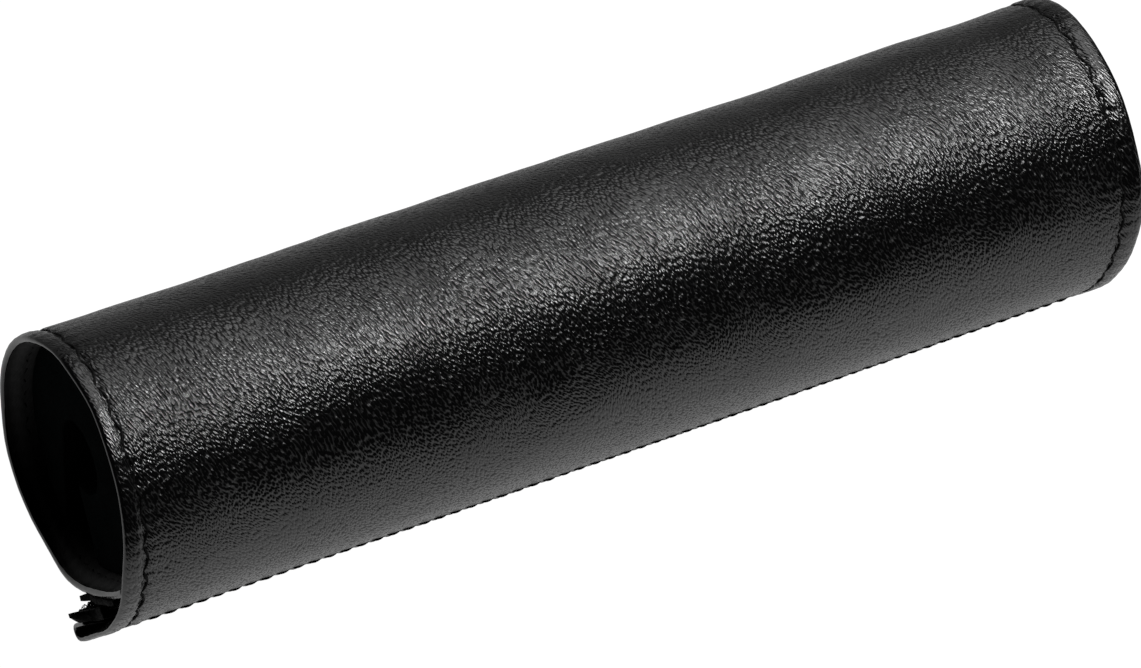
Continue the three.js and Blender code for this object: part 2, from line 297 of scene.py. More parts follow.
# %% Simulate the swelling of the wrap
def swelling_map():
    """A grid of outward moves in millimetres, with its s and x values."""
    s = np.arange(0, S_END, CLOTH_STEP)
    x = np.linspace(-HALF_LENGTH, HALF_LENGTH, int(2 * HALF_LENGTH / CLOTH_STEP) + 1)
    grid_s, grid_x = np.meshgrid(s, x, indexing="ij")
    before = place(grid_s, grid_x, 0)
    sheet = bpy.data.objects.new("swelling_sheet", grid_mesh("swelling_sheet", before))
    bpy.context.scene.collection.objects.link(sheet)
    pins = sheet.vertex_groups.new(name="held")
    for index, weight in enumerate(cloth_pins(grid_s, grid_x).ravel()):
        if weight > 0:
            pins.add([index], float(weight), "REPLACE")
    cloth = sheet.modifiers.new("cloth", "CLOTH")
    cloth.settings.quality = 6
    cloth.settings.mass = 0.4
    cloth.settings.tension_stiffness = 30
    cloth.settings.compression_stiffness = 30
    cloth.settings.shear_stiffness = 15
    cloth.settings.bending_stiffness = 4
    cloth.settings.vertex_group_mass = "held"
    cloth.settings.use_pressure = True
    cloth.settings.uniform_pressure_force = CLOTH_PRESSURE
    cloth.settings.effector_weights.gravity = 0
    cloth.collision_settings.use_collision = False
    cloth.point_cache.frame_start, cloth.point_cache.frame_end = 1, CLOTH_FRAMES
    for number in range(1, CLOTH_FRAMES + 1):
        bpy.context.scene.frame_set(number)
    moved = sheet.evaluated_get(bpy.context.evaluated_depsgraph_get()).to_mesh()
    after = np.empty(len(moved.vertices) * 3)
    moved.vertices.foreach_get("co", after)
    bpy.context.scene.frame_set(1)
    bpy.data.objects.remove(sheet)
    normal_y, normal_z = read_trace(grid_s)[2:]
    move = after.reshape(before.shape) - before
    outward = (move[..., 1] * normal_y + move[..., 2] * normal_z) / MM
    return s, x, np.clip(outward, -CLOTH_CAP, CLOTH_CAP)


SWELL_S, SWELL_X, SWELL = swelling_map()
print(f"cloth: moved {SWELL.min():.2f} to {SWELL.max():.2f} mm")


JUST_INSIDE = 1.001


def read_map(s, x):
    """The swelling at any points of the sheet, read between the map's own."""
    row = np.clip(np.interp(s, SWELL_S, np.arange(len(SWELL_S))), 0, len(SWELL_S) - JUST_INSIDE)
    column = np.clip(np.interp(x, SWELL_X, np.arange(len(SWELL_X))), 0, len(SWELL_X) - JUST_INSIDE)
    i, j = row.astype(int), column.astype(int)
    u, v = row - i, column - j
    low = SWELL[i, j] * (1 - v) + SWELL[i, j + 1] * v
    high = SWELL[i + 1, j] * (1 - v) + SWELL[i + 1, j + 1] * v
    return low * (1 - u) + high * u


# %% [markdown]
# ## Seams
#
# A machine stitch pulls the leatherette down: it makes a narrow groove along the seam, deepest at the
# needle holes, and the material stands up a little between them and puckers beside it. These forms show in
# the outline, so they are real geometry. Each seam is written once, as a line along x or along s, and both
# the wrap and the thread read it.

# %% Describe the relief of the sheet
STITCH_PITCH = 3.62
GROOVE_WIDTH = 0.75
GROOVE_DEPTH = 0.5
BETWEEN_HOLES = 0.45
PUCKER_REACH = 2.6
PUCKER_HEIGHT = 0.13
HEM_PUFF = 0.25
PUFF_FROM_RING = (0.2, 2.0)
PUFF_FROM_END = (0.1, 1.6)
FLAP_LOOSENS = 20.0
PANEL_LOOSENS = 15.0
END_FLARE = {-1: 0.35, 1: 0.75}
FLARE_S = 97.0
FLARE_WIDTH = 20.0
FLARE_FROM, FLARE_FULL = 22.0, 6.0
EDGE_SEAM_S = 3.6
TAPE_SEAM_S = 17.0
TAPE_SEAM_MARGIN = 1.5
LOOP_TAPE_FROM_END = 8.3
TAPE_WIDTH = 16.0
PANEL_SEAMS_S = (
    S_END - LOOP_TAPE_FROM_END - TAPE_WIDTH + TAPE_SEAM_MARGIN,
    S_END - LOOP_TAPE_FROM_END - TAPE_SEAM_MARGIN,
)
LONG_SEAMS_S = (EDGE_SEAM_S, TAPE_SEAM_S, *PANEL_SEAMS_S)
SEED = 11


# %% [markdown]
# Leather never lies quite flat. A few dozen sine waves in random directions give slow ripples that have no
# seam and no repeat, from a fixed seed. The seams' grooves and puckers are added to them.

# %% Add up the ripples and the seams' relief
def wave_set(seed, count, shortest, longest):
    """Random waves over the sheet: direction, length and phase, the same on every run."""
    random = np.random.default_rng(seed)
    angle = random.uniform(0, math.pi, count)
    length = np.exp(random.uniform(math.log(shortest), math.log(longest), count))
    phase = random.uniform(0, 2 * math.pi, count)
    return np.cos(angle) / length, np.sin(angle) / length, phase, length / longest


def ripple(waves, s, x):
    """Adds the waves up to a height of about 1, with the long ones the highest."""
    total = sum(
        share * np.sin(2 * math.pi * (a * s + b * x) + phase) for a, b, phase, share in zip(*waves)
    )
    return total / math.sqrt(0.5 * np.sum(waves[3] ** 2))


SLOW_WAVES = wave_set(SEED, count=18, shortest=22, longest=80)
QUICK_WAVES = wave_set(SEED + 1, count=16, shortest=5, longest=12)
SLOW_HEIGHT = 0.11
QUICK_HEIGHT = 0.018


def seam_relief(across, along):
    """Height beside a seam, from the distance across it and the distance along it."""
    hole = 0.5 - 0.5 * np.cos(2 * math.pi * along / STITCH_PITCH)
    groove = -GROOVE_DEPTH * (1 - BETWEEN_HOLES * hole) * np.exp(-((across / GROOVE_WIDTH) ** 2))
    pucker = PUCKER_HEIGHT * (2 * hole - 1) * np.exp(-np.abs(across) / PUCKER_REACH)
    return groove, pucker * (1 - np.exp(-((across / GROOVE_WIDTH) ** 2)))


def smoothstep(value, start, end):
    t = np.clip((value - start) / (end - start), 0, 1)
    return t * t * (3 - 2 * t)


def body_relief(s, x):
    """How far the whole sheet stands out, in millimetres: swelling, ripples, puckers and hem puff."""
    loose = smoothstep(s, STIFF_FLAP, STIFF_FLAP + FLAP_LOOSENS)
    loose = loose * smoothstep(S_END - s, STIFF_PANEL, STIFF_PANEL + PANEL_LOOSENS)
    height = read_map(s, x) + SLOW_HEIGHT * ripple(SLOW_WAVES, s, x) * loose
    height = height + QUICK_HEIGHT * ripple(QUICK_WAVES, s, x)
    flare = np.where(x < 0, END_FLARE[-1], END_FLARE[1]) * np.exp(-(((s - FLARE_S) / FLARE_WIDTH) ** 2))
    height = height + flare * smoothstep(np.abs(x), HALF_LENGTH - FLARE_FROM, HALF_LENGTH - FLARE_FULL)
    from_ring = np.abs(x) - RING_X
    puffed = smoothstep(from_ring, *PUFF_FROM_RING) * smoothstep(RING_INSET - from_ring, *PUFF_FROM_END)
    height = height + HEM_PUFF * puffed
    height = height + seam_relief(from_ring, s)[1]
    for seam in LONG_SEAMS_S:
        height = height + seam_relief(s - seam, x)[1]
    return height


def face_relief(s, x):
    """The grooves, which are pressed into the face and not through the sheet."""
    height = seam_relief(np.abs(x) - RING_X, s)[0]
    for seam in LONG_SEAMS_S:
        height = height + seam_relief(s - seam, x)[0]
    return height


# %% [markdown]
# ## The wrap
#
# The wrap is a closed skin: a ring of points runs along the outer face, round the nose of one hem, back
# along the turned-in layer and the inner face, and round the other nose. That ring is carried along the
# section. The outer face has points about every 0.8 mm, so that the puckers at each stitch are real, and the
# inner face, which nobody sees, has few. A second solid or a Solidify modifier would make the hems harder,
# because there the sheet lies on itself.

# %% Lay out one ring of the wrap
NOSE_THICKNESS = 1.0
NOSE_ROUNDING = 0.5
NOSE_SPREAD = 1.7
NOSE_ENDS = (1.0, RING_INSET + 1.5)
SPREAD_S = (95.0, 125.0)
PRESSED_GAP = 0.05
FACE_STEP = 0.85
HEM_STEP = 0.42
SECTION_STEP = 0.8
NOSE_STEPS = 8
INNER_STEP = 12.0
INNER_MARGIN = 2.0
HEM_BACK_STEP = 0.8
HEM_GAP_STEP = 3.0
HEM_GROOVE_SHARE = -0.6
TIP_SQUEEZE = 0.5
TIP_SQUEEZE_RAMP = 3.0
TIP_FADE = 1.5
EDGE_WAVER = 0.2
WAVER_START = RING_X - 1.0
WAVER_QUICKENS = 1.7
WAVER_APART = 60.0
FRONT_INSET = 0.9
INSET_S = 80.0
INSET_WIDTH = 17.0
FLAP_OVERHANG = 0.4
OVERHANG_ENDS = (45.0, 65.0)


def spaced(start, end, step):
    return np.linspace(start, end, max(2, int(round(abs(end - start) / step)) + 1))


def clear_of_nose(x):
    """0 at the wrap's very end, where its layers are pressed, and 1 from just past the stitches."""
    return smoothstep(HALF_LENGTH - np.abs(x), *NOSE_ENDS)


def pressed_hem(x):
    """Thickness of the turned-in end: its two layers are pressed together towards the edge."""
    return NOSE_THICKNESS + (HEM - NOSE_THICKNESS) * clear_of_nose(x)


def wrap_ring():
    """One ring of the wrap as x, depth, and how much of the seams' grooves each point takes."""
    nose_x = HALF_LENGTH - NOSE_ROUNDING
    fine = spaced(HEM_START, nose_x, HEM_STEP)
    middle = spaced(-HEM_START, HEM_START, FACE_STEP)
    face = np.concatenate([-fine[::-1], middle[1:-1], fine])
    around = np.radians(np.linspace(-90, 90, NOSE_STEPS + 1))[1:-1]
    radius = NOSE_THICKNESS / 2
    nose_out = zip(nose_x + NOSE_ROUNDING * np.cos(around), radius + radius * np.sin(around))
    hem_back = spaced(nose_x, HEM_START, HEM_BACK_STEP)
    gap_back = spaced(HEM_START, nose_x - radius, HEM_GAP_STEP)
    half = [
        *((x, d, 0.0) for x, d in nose_out),
        *((x, pressed_hem(x), HEM_GROOVE_SHARE) for x in hem_back),
        *((x, pressed_hem(x) / 2 + PRESSED_GAP, 0.0) for x in gap_back),
        *((x, pressed_hem(x) / 2 - PRESSED_GAP, 0.0) for x in gap_back[::-1]),
    ]
    inner_end = HEM_START - INNER_MARGIN
    inner = [(x, SHEET, 0.0) for x in spaced(inner_end, -inner_end, INNER_STEP)]
    ring = [(x, 0.0, 1.0) for x in face] + half + inner
    ring += [(-x, d, k) for x, d, k in reversed(half)]
    return np.array(ring)


# %% [markdown]
# The ring is carried along the section. On the way the hem is pinched in the flap's tip and spreads towards
# the belly, the near end is drawn in a little at the front, and every point takes its share of the relief.

# %% Carry the ring along the section
def tip_squeeze(s):
    """How far the hem's inner layer stands off the outer one: less in the pinched tip of the flap."""
    return 1 - (1 - TIP_SQUEEZE) * (1 - smoothstep(s, TIP_RETURN, TIP_RETURN + TIP_SQUEEZE_RAMP))


def wrap_points(ring):
    """The grid of points of the wrap, and its place on the flat sheet for the materials."""
    s = spaced(S_START, S_END, SECTION_STEP)[:, None]
    x, depth, groove_share = (ring[None, :, k] for k in range(3))
    depth = np.where(depth > SHEET, SHEET + (depth - SHEET) * tip_squeeze(s), depth)
    looseness = (NOSE_SPREAD - 1) * smoothstep(s, *SPREAD_S)
    depth = depth * (1 + looseness * (1 - clear_of_nose(x)))
    flap_side = smoothstep(s, 0.0, TIP_FADE)
    relief = body_relief(s, x) * flap_side
    groove = face_relief(s, x) * flap_side * groove_share
    near_end = smoothstep(np.abs(x), WAVER_START, HALF_LENGTH)
    waver = EDGE_WAVER * ripple(SLOW_WAVES, s * WAVER_QUICKENS, np.sign(x) * WAVER_APART) * np.sign(x)
    drawn_in = FRONT_INSET * np.exp(-(((s - INSET_S) / INSET_WIDTH) ** 2))
    drawn_in = drawn_in - FLAP_OVERHANG * (1 - smoothstep(s, *OVERHANG_ENDS))
    waver = near_end * (waver + drawn_in * (x < 0))
    points = place(s, x + waver, depth - relief - groove)
    points[..., 2] = np.maximum(points[..., 2], COVER_LOW[2])
    flat = np.stack(np.broadcast_arrays(x * MM, s * MM, depth * MM), axis=-1)
    return points, flat


# %% [markdown]
# A grid of rings becomes a closed skin when both its ends are capped. A ring of the wrap is an odd shape, so
# its cap is cut into triangles. A ring of a tape goes out along the face and back along the underside, and
# there a ladder of quads keeps each ragged tooth one point.

# %% Close a skin over a grid of rings
def cap_faces(ring, row_start, turned):
    """Triangles that close the cut edge of the sheet at one end of the section."""
    outline = [Vector((x, d, 0)) for x, d, _ in ring]
    triangles = geometry.tessellate_polygon([outline])
    faces = [[row_start + i for i in triangle] for triangle in triangles]
    return [face[::-1] for face in faces] if turned else faces


def ladder_faces(count, row_start, turned):
    """Quads that close an end whose ring goes out along one side and back along the other."""
    rungs = [(k, k + 1, count - 2 - k, count - 1 - k) for k in range(count // 2 - 1)]
    faces = [[row_start + i for i in rung] for rung in rungs]
    return [face[::-1] for face in faces] if turned else faces


def closed_object(name, points, ring, flat=None, ladder=False):
    """A closed skin over a grid whose rows are rings, with both ends capped and faces out."""
    rows, columns = points.shape[:2]
    mesh = grid_mesh(name, points, closed=True)
    work = bmesh.new()
    work.from_mesh(mesh)
    work.verts.ensure_lookup_table()
    for row, turned in ((0, False), (rows - 1, True)):
        start = row * columns
        caps = ladder_faces(columns, start, turned) if ladder else cap_faces(ring, start, turned)
        for face in caps:
            corners = [work.verts[i] for i in face]
            if len(set(corners)) == len(face) and not work.faces.get(corners):
                work.faces.new(corners)
    bmesh.ops.recalc_face_normals(work, faces=work.faces)
    work.to_mesh(mesh)
    work.free()
    if flat is not None:
        place_on_sheet = mesh.attributes.new("sheet_place", "FLOAT_VECTOR", "POINT")
        place_on_sheet.data.foreach_set("vector", flat.reshape(-1).astype(np.float32))
    mesh.shade_smooth()
    made = bpy.data.objects.new(name, mesh)
    bpy.context.scene.collection.objects.link(made)
    print(f"{name}: {len(mesh.polygons)} faces, {(edge_uses(mesh) != 2).sum()} open edges")
    return made


def edge_uses(mesh):
    """How many faces share each edge. A closed skin has two at every edge."""
    loops = np.empty(len(mesh.loops), dtype=np.int32)
    mesh.loops.foreach_get("edge_index", loops)
    return np.bincount(loops, minlength=len(mesh.edges))


ring = wrap_ring()
points, flat_places = wrap_points(ring)
wrap = closed_object("pad_wrap", points, ring, flat_places)

# %% [markdown]
# ## The foam core
#
# The core is a thick tube of foam with a bore for the handlebar's crossbar and a slit that has sprung
# open, so its section is one closed outline: round the inside of the wrap, in along one wall of the slit,
# round the bore and out along the other wall. Cut foam has soft edges, so the outline is softened and drawn
# in at both ends. Sweeping an outline keeps the bore and the thin lips clean, where a voxel remesh would
# nibble at them.

# %% Draw the foam's section
SEAT = 0.3
TAPE_RAMP = 3.0
FOAM_RECESS = 6.0
FOAM_START = 36.6
FOAM_POINTS = 200
FOAM_SKIN_STEP = 0.5
FOAM_SOFTNESS = 1.0
BORE_RADIUS = 8.0
BORE_STEP_DEGREES = 4
BORE_CENTRE = np.array([2.8, -3.5])
FRONT_WALL_LEAVES, FRONT_WALL_HEADING = 246.0, 206.0
BACK_WALL_LEAVES, BACK_WALL_HEADING = 323.0, 233.0


def first_crossing(line, origin, direction):
    """Index of the stretch of a line of points that a ray from origin crosses first."""
    stretch, away = np.diff(line, axis=0), origin - line[:-1]
    slant = stretch[:, 0] * direction[1] - stretch[:, 1] * direction[0]
    share = (away[:, 0] * direction[1] - away[:, 1] * direction[0]) / slant
    reach = (away[:, 0] * stretch[:, 1] - away[:, 1] * stretch[:, 0]) / slant
    reach[(share < 0) | (share > 1) | (reach < 0)] = np.inf
    return int(np.argmin(reach))


def foam_section(tucked):
    """The closed outline in Y and Z, tucked in where it faces the wrap, and its outward normals."""
    y, z, normal_y, normal_z = read_trace(np.arange(FOAM_START, S_END, FOAM_SKIN_STEP))
    depth = SHEET + SEAT + tucked
    skin = np.stack([y - normal_y * depth, z - normal_z * depth], axis=1)
    front = BORE_CENTRE + BORE_RADIUS * heading(FRONT_WALL_LEAVES)
    back = BORE_CENTRE + BORE_RADIUS * heading(BACK_WALL_LEAVES)
    front_lip = first_crossing(skin, front, heading(FRONT_WALL_HEADING))
    back_lip = first_crossing(skin, back, heading(BACK_WALL_HEADING))
    around = np.radians(np.arange(BACK_WALL_LEAVES, FRONT_WALL_LEAVES + 360, BORE_STEP_DEGREES))
    bore = BORE_CENTRE + BORE_RADIUS * np.stack([np.cos(around), np.sin(around)], axis=1)
    outline = np.concatenate([skin[front_lip + 1 :], skin[: back_lip + 1], bore, [front]])
    closed = np.concatenate([outline, outline[:1]])
    walked = np.concatenate([[0], np.cumsum(np.linalg.norm(np.diff(closed, axis=0), axis=1))])
    step = walked[-1] / FOAM_POINTS
    even = np.arange(FOAM_POINTS) * step
    loop = np.stack([np.interp(even, walked, closed[:, k]) for k in range(2)], axis=1)
    loop = softened(loop, FOAM_SOFTNESS, step, closed=True)
    along = np.roll(loop, -1, axis=0) - np.roll(loop, 1, axis=0)
    along /= np.linalg.norm(along, axis=1, keepdims=True)
    outward = np.stack([-along[:, 1], along[:, 0]], axis=1)
    return loop, softened(outward, 2 * FOAM_SOFTNESS, step, closed=True)


# %% [markdown]
# The outline is carried along the pad. In the hems it steps in, because the wrap is double there. The cut
# ends are filled with small triangles, so that they can be a little uneven, as a knife leaves them.

# %% Sweep the foam and fill its ends
FOAM_END = HALF_LENGTH - FOAM_RECESS
FOAM_ROUNDING = 0.4
ROUNDING_STEPS = 4
FOAM_DENT = 0.1
FOAM_ROW_STEP = 3.0
FOAM_ROW_MARGIN = 1.0
FOAM_END_STEP = 1.5
FILL_CLEARANCE = 0.6
FILL_INSIDE, FILL_PRECISION = 1, 1e-6
WELD_DISTANCE = 0.02
CUT_UNEVEN = 0.18
UNEVEN_FADE = 3.0
UNEVEN_QUICKENS = 3.0
FOAM_WAVES = wave_set(SEED + 2, count=20, shortest=9, longest=40)


def foam_rows():
    """The stations along the pad, as x and how far the outline is drawn in there."""
    turn = np.radians(np.linspace(0, 90, ROUNDING_STEPS + 1))
    end = [
        (FOAM_END - FOAM_ROUNDING * (1 - math.sin(t)), FOAM_ROUNDING * (1 - math.cos(t))) for t in turn
    ]
    middle_end = end[0][0] - FOAM_ROW_MARGIN
    middle = [(x, 0.0) for x in spaced(-middle_end, middle_end, FOAM_ROW_STEP)]
    return [(-x, inset) for x, inset in reversed(end)] + middle + end


def cut_end(outline, x):
    """Points and triangles that fill a closed outline at one end of the foam."""
    low, high = outline.min(axis=0), outline.max(axis=0)
    y, z = np.meshgrid(*(np.arange(low[k], high[k], FOAM_END_STEP) for k in range(2)), indexing="ij")
    y[:, ::2] += FOAM_END_STEP / 2
    inner = np.stack([y.ravel(), z.ravel()], axis=1)
    gap = np.linalg.norm(inner[:, None] - outline[None], axis=2).min(axis=1)
    points = [Vector(p) for p in outline] + [Vector(p) for p in inner[gap > FOAM_END_STEP * FILL_CLEARANCE]]
    border = [list(range(len(outline)))]
    filled = geometry.delaunay_2d_cdt(points, [], border, FILL_INSIDE, FILL_PRECISION)
    flat = np.array([tuple(p) for p in filled[0]])
    edge = np.linalg.norm(flat[:, None] - outline[None], axis=2).min(axis=1)
    uneven = CUT_UNEVEN * smoothstep(edge, 0.0, UNEVEN_FADE)
    stretched = flat * UNEVEN_QUICKENS
    uneven = uneven * ripple(FOAM_WAVES, stretched[:, 0] + x, stretched[:, 1])
    return np.column_stack([np.full(len(flat), x) + uneven, flat]), [list(face) for face in filled[2]]


def make_foam():
    """The outline swept from end to end, tucked in under both hems, with its ends filled."""
    middle, middle_out = foam_section(0.0)
    hemmed, hemmed_out = foam_section(HEM - SHEET)
    around = np.arange(FOAM_POINTS)
    rows = []
    for x, inset in foam_rows():
        share = smoothstep(abs(x), HEM_START - TAPE_RAMP, HEM_START)
        dent = FOAM_DENT * (1 + ripple(FOAM_WAVES, around, x))
        outline = middle + share * (hemmed - middle)
        outward = middle_out + share * (hemmed_out - middle_out)
        rows.append(np.column_stack([np.full(FOAM_POINTS, x), outline - outward * (inset + dent)[:, None]]))
    work = bmesh.new()
    work.from_mesh(grid_mesh("pad_foam", np.array(rows), closed=True))
    for row in (rows[0], rows[-1]):
        points, faces = cut_end(row[:, 1:], row[0, 0])
        corners = [work.verts.new(p) for p in points]
        for face in faces:
            work.faces.new([corners[i] for i in face])
    bmesh.ops.remove_doubles(work, verts=work.verts, dist=WELD_DISTANCE)
    bmesh.ops.recalc_face_normals(work, faces=work.faces)
    bmesh.ops.scale(work, vec=(MM, MM, MM), verts=work.verts)
    bmesh.ops.translate(work, vec=(0, AXIS_Y, AXIS_Z), verts=work.verts)
    mesh = bpy.data.meshes.new("pad_foam")
    work.to_mesh(mesh)
    work.free()
    mesh.shade_smooth()
    foam = bpy.data.objects.new("pad_foam", mesh)
    bpy.context.scene.collection.objects.link(foam)
    print(f"foam: {len(mesh.polygons)} faces, {(edge_uses(mesh) != 2).sum()} open edges")
    return foam


foam = make_foam()

# %% [markdown]
# ## Hook-and-loop tape
#
# A strip of hook tape is sewn inside the flap and a strip of loop tape outside the panel behind it. Both
# were cut with blunt scissors: their ends are ragged and stand out past the wrap at the left end. Each
# strip is a grid over the same two distances as the wrap, closed by an underside. The strips are thick here,
# because backing and pile together fill most of the gap between flap and sheet.

# %% Choose where the tapes lie
HOOK_BASE = 2.5
LOOP_BASE = 1.1
LONGEST_TOOTH = 5.0
TOOTH_LIFT = 1.1
THIN_SHARE = 0.4
THIN_WIDTH = 9.0
HOOK_FROM_TIP = 2.5
HOOK_S = (HOOK_FROM_TIP, HOOK_FROM_TIP + TAPE_WIDTH)
LOOP_S = (S_END - LOOP_TAPE_FROM_END - TAPE_WIDTH, S_END - LOOP_TAPE_FROM_END)


def hook_depth(s, x):
    """Depth of the hook tape's back: on the flap's inside, over the end hems and the turned tip."""
    hem = (HEM - SHEET) * smoothstep(np.abs(x), HEM_START - TAPE_RAMP, HEM_START - SEAT)
    fold = (TIP_THICKNESS - SHEET) * (1 - smoothstep(s, TIP_RETURN + SEAT, TIP_RETURN + SEAT + TAPE_RAMP))
    return SHEET + SEAT + np.maximum(hem, fold)


def hook_thickness(s):
    """The hook tape is pressed thin where it lies on the flap's turned tip."""
    return HOOK_BASE * (THIN_SHARE + (1 - THIN_SHARE) * smoothstep(s, HOOK_S[0], HOOK_S[0] + THIN_WIDTH))


def loop_thickness(s):
    return np.full(np.shape(s), -LOOP_BASE)


def loop_depth(s, x):
    """Depth of the loop tape's back: just off the outside of the sheet's inner end."""
    return np.full(np.broadcast(s, x).shape, -SEAT)


# %% [markdown]
# A cut end is a short list of teeth: places across the tape, and how far each stands out past the wrap. The
# longest tooth is the ragged point at the near end. It thins and bends towards the other tape.

# %% Build the two tape strips
TOOTH_THINNING = 0.75
ENDS_FROM = 0.955
STRIP_INSET = 0.6
STRIP_ACROSS, STRIP_ALONG = 33, 321


def ragged_end(across, teeth):
    """How far the cut end stands out, from a list of (place across the tape, reach) teeth."""
    places, reaches = zip(*teeth)
    return np.interp(across, places, reaches)


def tape_strip(name, span, back_depth, thickness, teeth_left, teeth_right):
    """A strip between two distances s, with its back at back_depth. A tooth thins and lifts outwards."""
    across = np.linspace(0, 1, STRIP_ACROSS)
    along = np.linspace(-1, 1, STRIP_ALONG)
    s = span[0] + across[None, :] * (span[1] - span[0])
    left, right = (ragged_end(across, teeth)[None, :] for teeth in (teeth_left, teeth_right))
    reach = np.where(along[:, None] < 0, left, right)
    near_end = smoothstep(np.abs(along), ENDS_FROM, 1.0)[:, None]
    x = along[:, None] * (HALF_LENGTH - STRIP_INSET) + np.sign(along[:, None]) * reach * near_end
    s, x = np.broadcast_arrays(s, x)
    back = back_depth(s, np.clip(x, -HALF_LENGTH, HALF_LENGTH))
    tooth = near_end * np.clip(reach / LONGEST_TOOTH, 0, 1)
    thick = thickness(s)
    face_depth = back + thick + TOOTH_LIFT * tooth * np.sign(thick)
    face = place(s, x, face_depth)
    under_side = place(s, x, face_depth + (back - face_depth) * (1 - TOOTH_THINNING * tooth))
    rows = np.concatenate([face, under_side[:, ::-1]], axis=1)
    outline = np.array([(v, 0, 0) for v in across] + [(v, 1, 0) for v in across[::-1]])
    return closed_object(name, rows, outline, ladder=True)


HOOK_TEETH_LEFT = (
    (0, 0.4), (0.2, 0.8), (0.34, 1.2), (0.46, 3.4), (0.6, 5.2), (0.7, 2.2), (0.8, 0.6), (1, 0.2),
)
HOOK_TEETH_RIGHT = ((0, 0.0), (0.3, 0.7), (0.42, 0.2), (0.8, 1.0), (1, 0.1))
LOOP_TEETH_LEFT = ((0, 1.3), (0.08, 0.9), (0.18, 0.2), (0.45, 0.5), (0.7, 0.1), (0.84, 0.4), (1, 0.0))
LOOP_TEETH_RIGHT = ((0, 0.2), (0.25, 0.9), (0.5, 0.1), (0.75, 0.8), (1, 0.0))
hook_strip = tape_strip(
    "pad_hook_tape", HOOK_S, hook_depth, hook_thickness, HOOK_TEETH_LEFT, HOOK_TEETH_RIGHT
)
loop_strip = tape_strip(
    "pad_loop_tape", LOOP_S, loop_depth, loop_thickness, LOOP_TEETH_LEFT, LOOP_TEETH_RIGHT
)

# %% [markdown]
# ## A helper for node trees
#
# Stitches, hooks and loops are made by Geometry Nodes, and every finish by shader nodes. Both kinds of
# tree are built the same way, so one helper adds a node, sets its options and fills or links its inputs.

# %% Add a node to a tree
def add_node(tree, kind, inputs=None, **options):
    made = tree.nodes.new(kind)
    for name, value in options.items():
        setattr(made, name, value)
    for name, value in (inputs or {}).items():
        if isinstance(value, bpy.types.NodeSocket):
            tree.links.new(value, made.inputs[name])
        else:
            made.inputs[name].default_value = value
    return made


def math_node(tree, operation, a, b=0.0, clamp=False):
    return add_node(tree, "ShaderNodeMath", {0: a, 1: b}, operation=operation, use_clamp=clamp).outputs[0]


def input_socket(group, name, kind, value=None):
    socket = group.interface.new_socket(name, in_out="INPUT", socket_type=kind)
    if value is not None:
        socket.default_value = value
    return socket


def output_socket(group, name, kind):
    return group.interface.new_socket(name, in_out="OUTPUT", socket_type=kind)


# %% [markdown]
# ## Stitches and pile by Geometry Nodes
#
# What repeats along a line is made once and copied to points. The points carry two directions, the run of
# the seam and the way out of the surface, and the tree turns each copy by them. A stitch is a short thread
# that comes up out of one needle hole and goes down into the next, so its curve is an arch.

# %% A tree that copies a bent thread to points
def bent_thread_tree():
    """Copies a bent thread to each point: an arch, or a hook where its end is lifted."""
    tree = bpy.data.node_groups.new("bent_threads", "GeometryNodeTree")
    input_socket(tree, "Points", "NodeSocketGeometry")
    for label in ("Length", "Rise", "End Lift", "Thickness", "Uneven"):
        input_socket(tree, label, "NodeSocketFloat", 0.0)
    for label in ("Sides", "Steps", "Seed"):
        input_socket(tree, label, "NodeSocketInt", 1)
    input_socket(tree, "Finish", "NodeSocketMaterial")
    output_socket(tree, "Threads", "NodeSocketGeometry")
    given = tree.nodes.new("NodeGroupInput").outputs

    half = math_node(tree, "MULTIPLY", given["Length"], 0.5)
    back = math_node(tree, "MULTIPLY", given["Length"], -0.5)
    top = math_node(tree, "MULTIPLY", given["Rise"], 2.0)
    arch = add_node(tree, "GeometryNodeCurveQuadraticBezier", {
        "Resolution": given["Steps"],
        "Start": add_node(tree, "ShaderNodeCombineXYZ", {"X": back}).outputs[0],
        "Middle": add_node(tree, "ShaderNodeCombineXYZ", {"Z": top}).outputs[0],
        "End": add_node(tree, "ShaderNodeCombineXYZ", {"X": half, "Z": given["End Lift"]}).outputs[0],
    })
    section = add_node(tree, "GeometryNodeCurvePrimitiveCircle", {
        "Resolution": given["Sides"], "Radius": math_node(tree, "MULTIPLY", given["Thickness"], 0.5),
    })
    thread = add_node(tree, "GeometryNodeCurveToMesh", {
        "Curve": arch.outputs[0], "Profile Curve": section.outputs[0], "Fill Caps": True,
    })

    run = add_node(tree, "GeometryNodeInputNamedAttribute", {"Name": "run"}, data_type="FLOAT_VECTOR")
    out = add_node(tree, "GeometryNodeInputNamedAttribute", {"Name": "out"}, data_type="FLOAT_VECTOR")
    along = add_node(tree, "FunctionNodeAlignRotationToVector", {"Vector": run.outputs[0]}, axis="X")
    turned = add_node(tree, "FunctionNodeAlignRotationToVector", {
        "Rotation": along.outputs[0], "Vector": out.outputs[0],
    }, axis="Z", pivot_axis="X")
    size = add_node(tree, "FunctionNodeRandomValue", {
        2: math_node(tree, "SUBTRACT", 1.0, given["Uneven"]),
        3: math_node(tree, "ADD", 1.0, given["Uneven"]),
        "Seed": given["Seed"],
    }, data_type="FLOAT")
    copies = add_node(tree, "GeometryNodeInstanceOnPoints", {
        "Points": given["Points"],
        "Instance": thread.outputs[0],
        "Rotation": turned.outputs[0],
        "Scale": size.outputs[1],
    })
    real = add_node(tree, "GeometryNodeRealizeInstances", {"Geometry": copies.outputs[0]})
    finish = add_node(tree, "GeometryNodeSetMaterial", {
        "Geometry": real.outputs[0], "Material": given["Finish"],
    })
    add_node(tree, "NodeGroupOutput", {0: finish.outputs[0]})
    return tree


BENT_THREADS = bent_thread_tree()
print("bent_threads:", len(BENT_THREADS.nodes), "nodes")

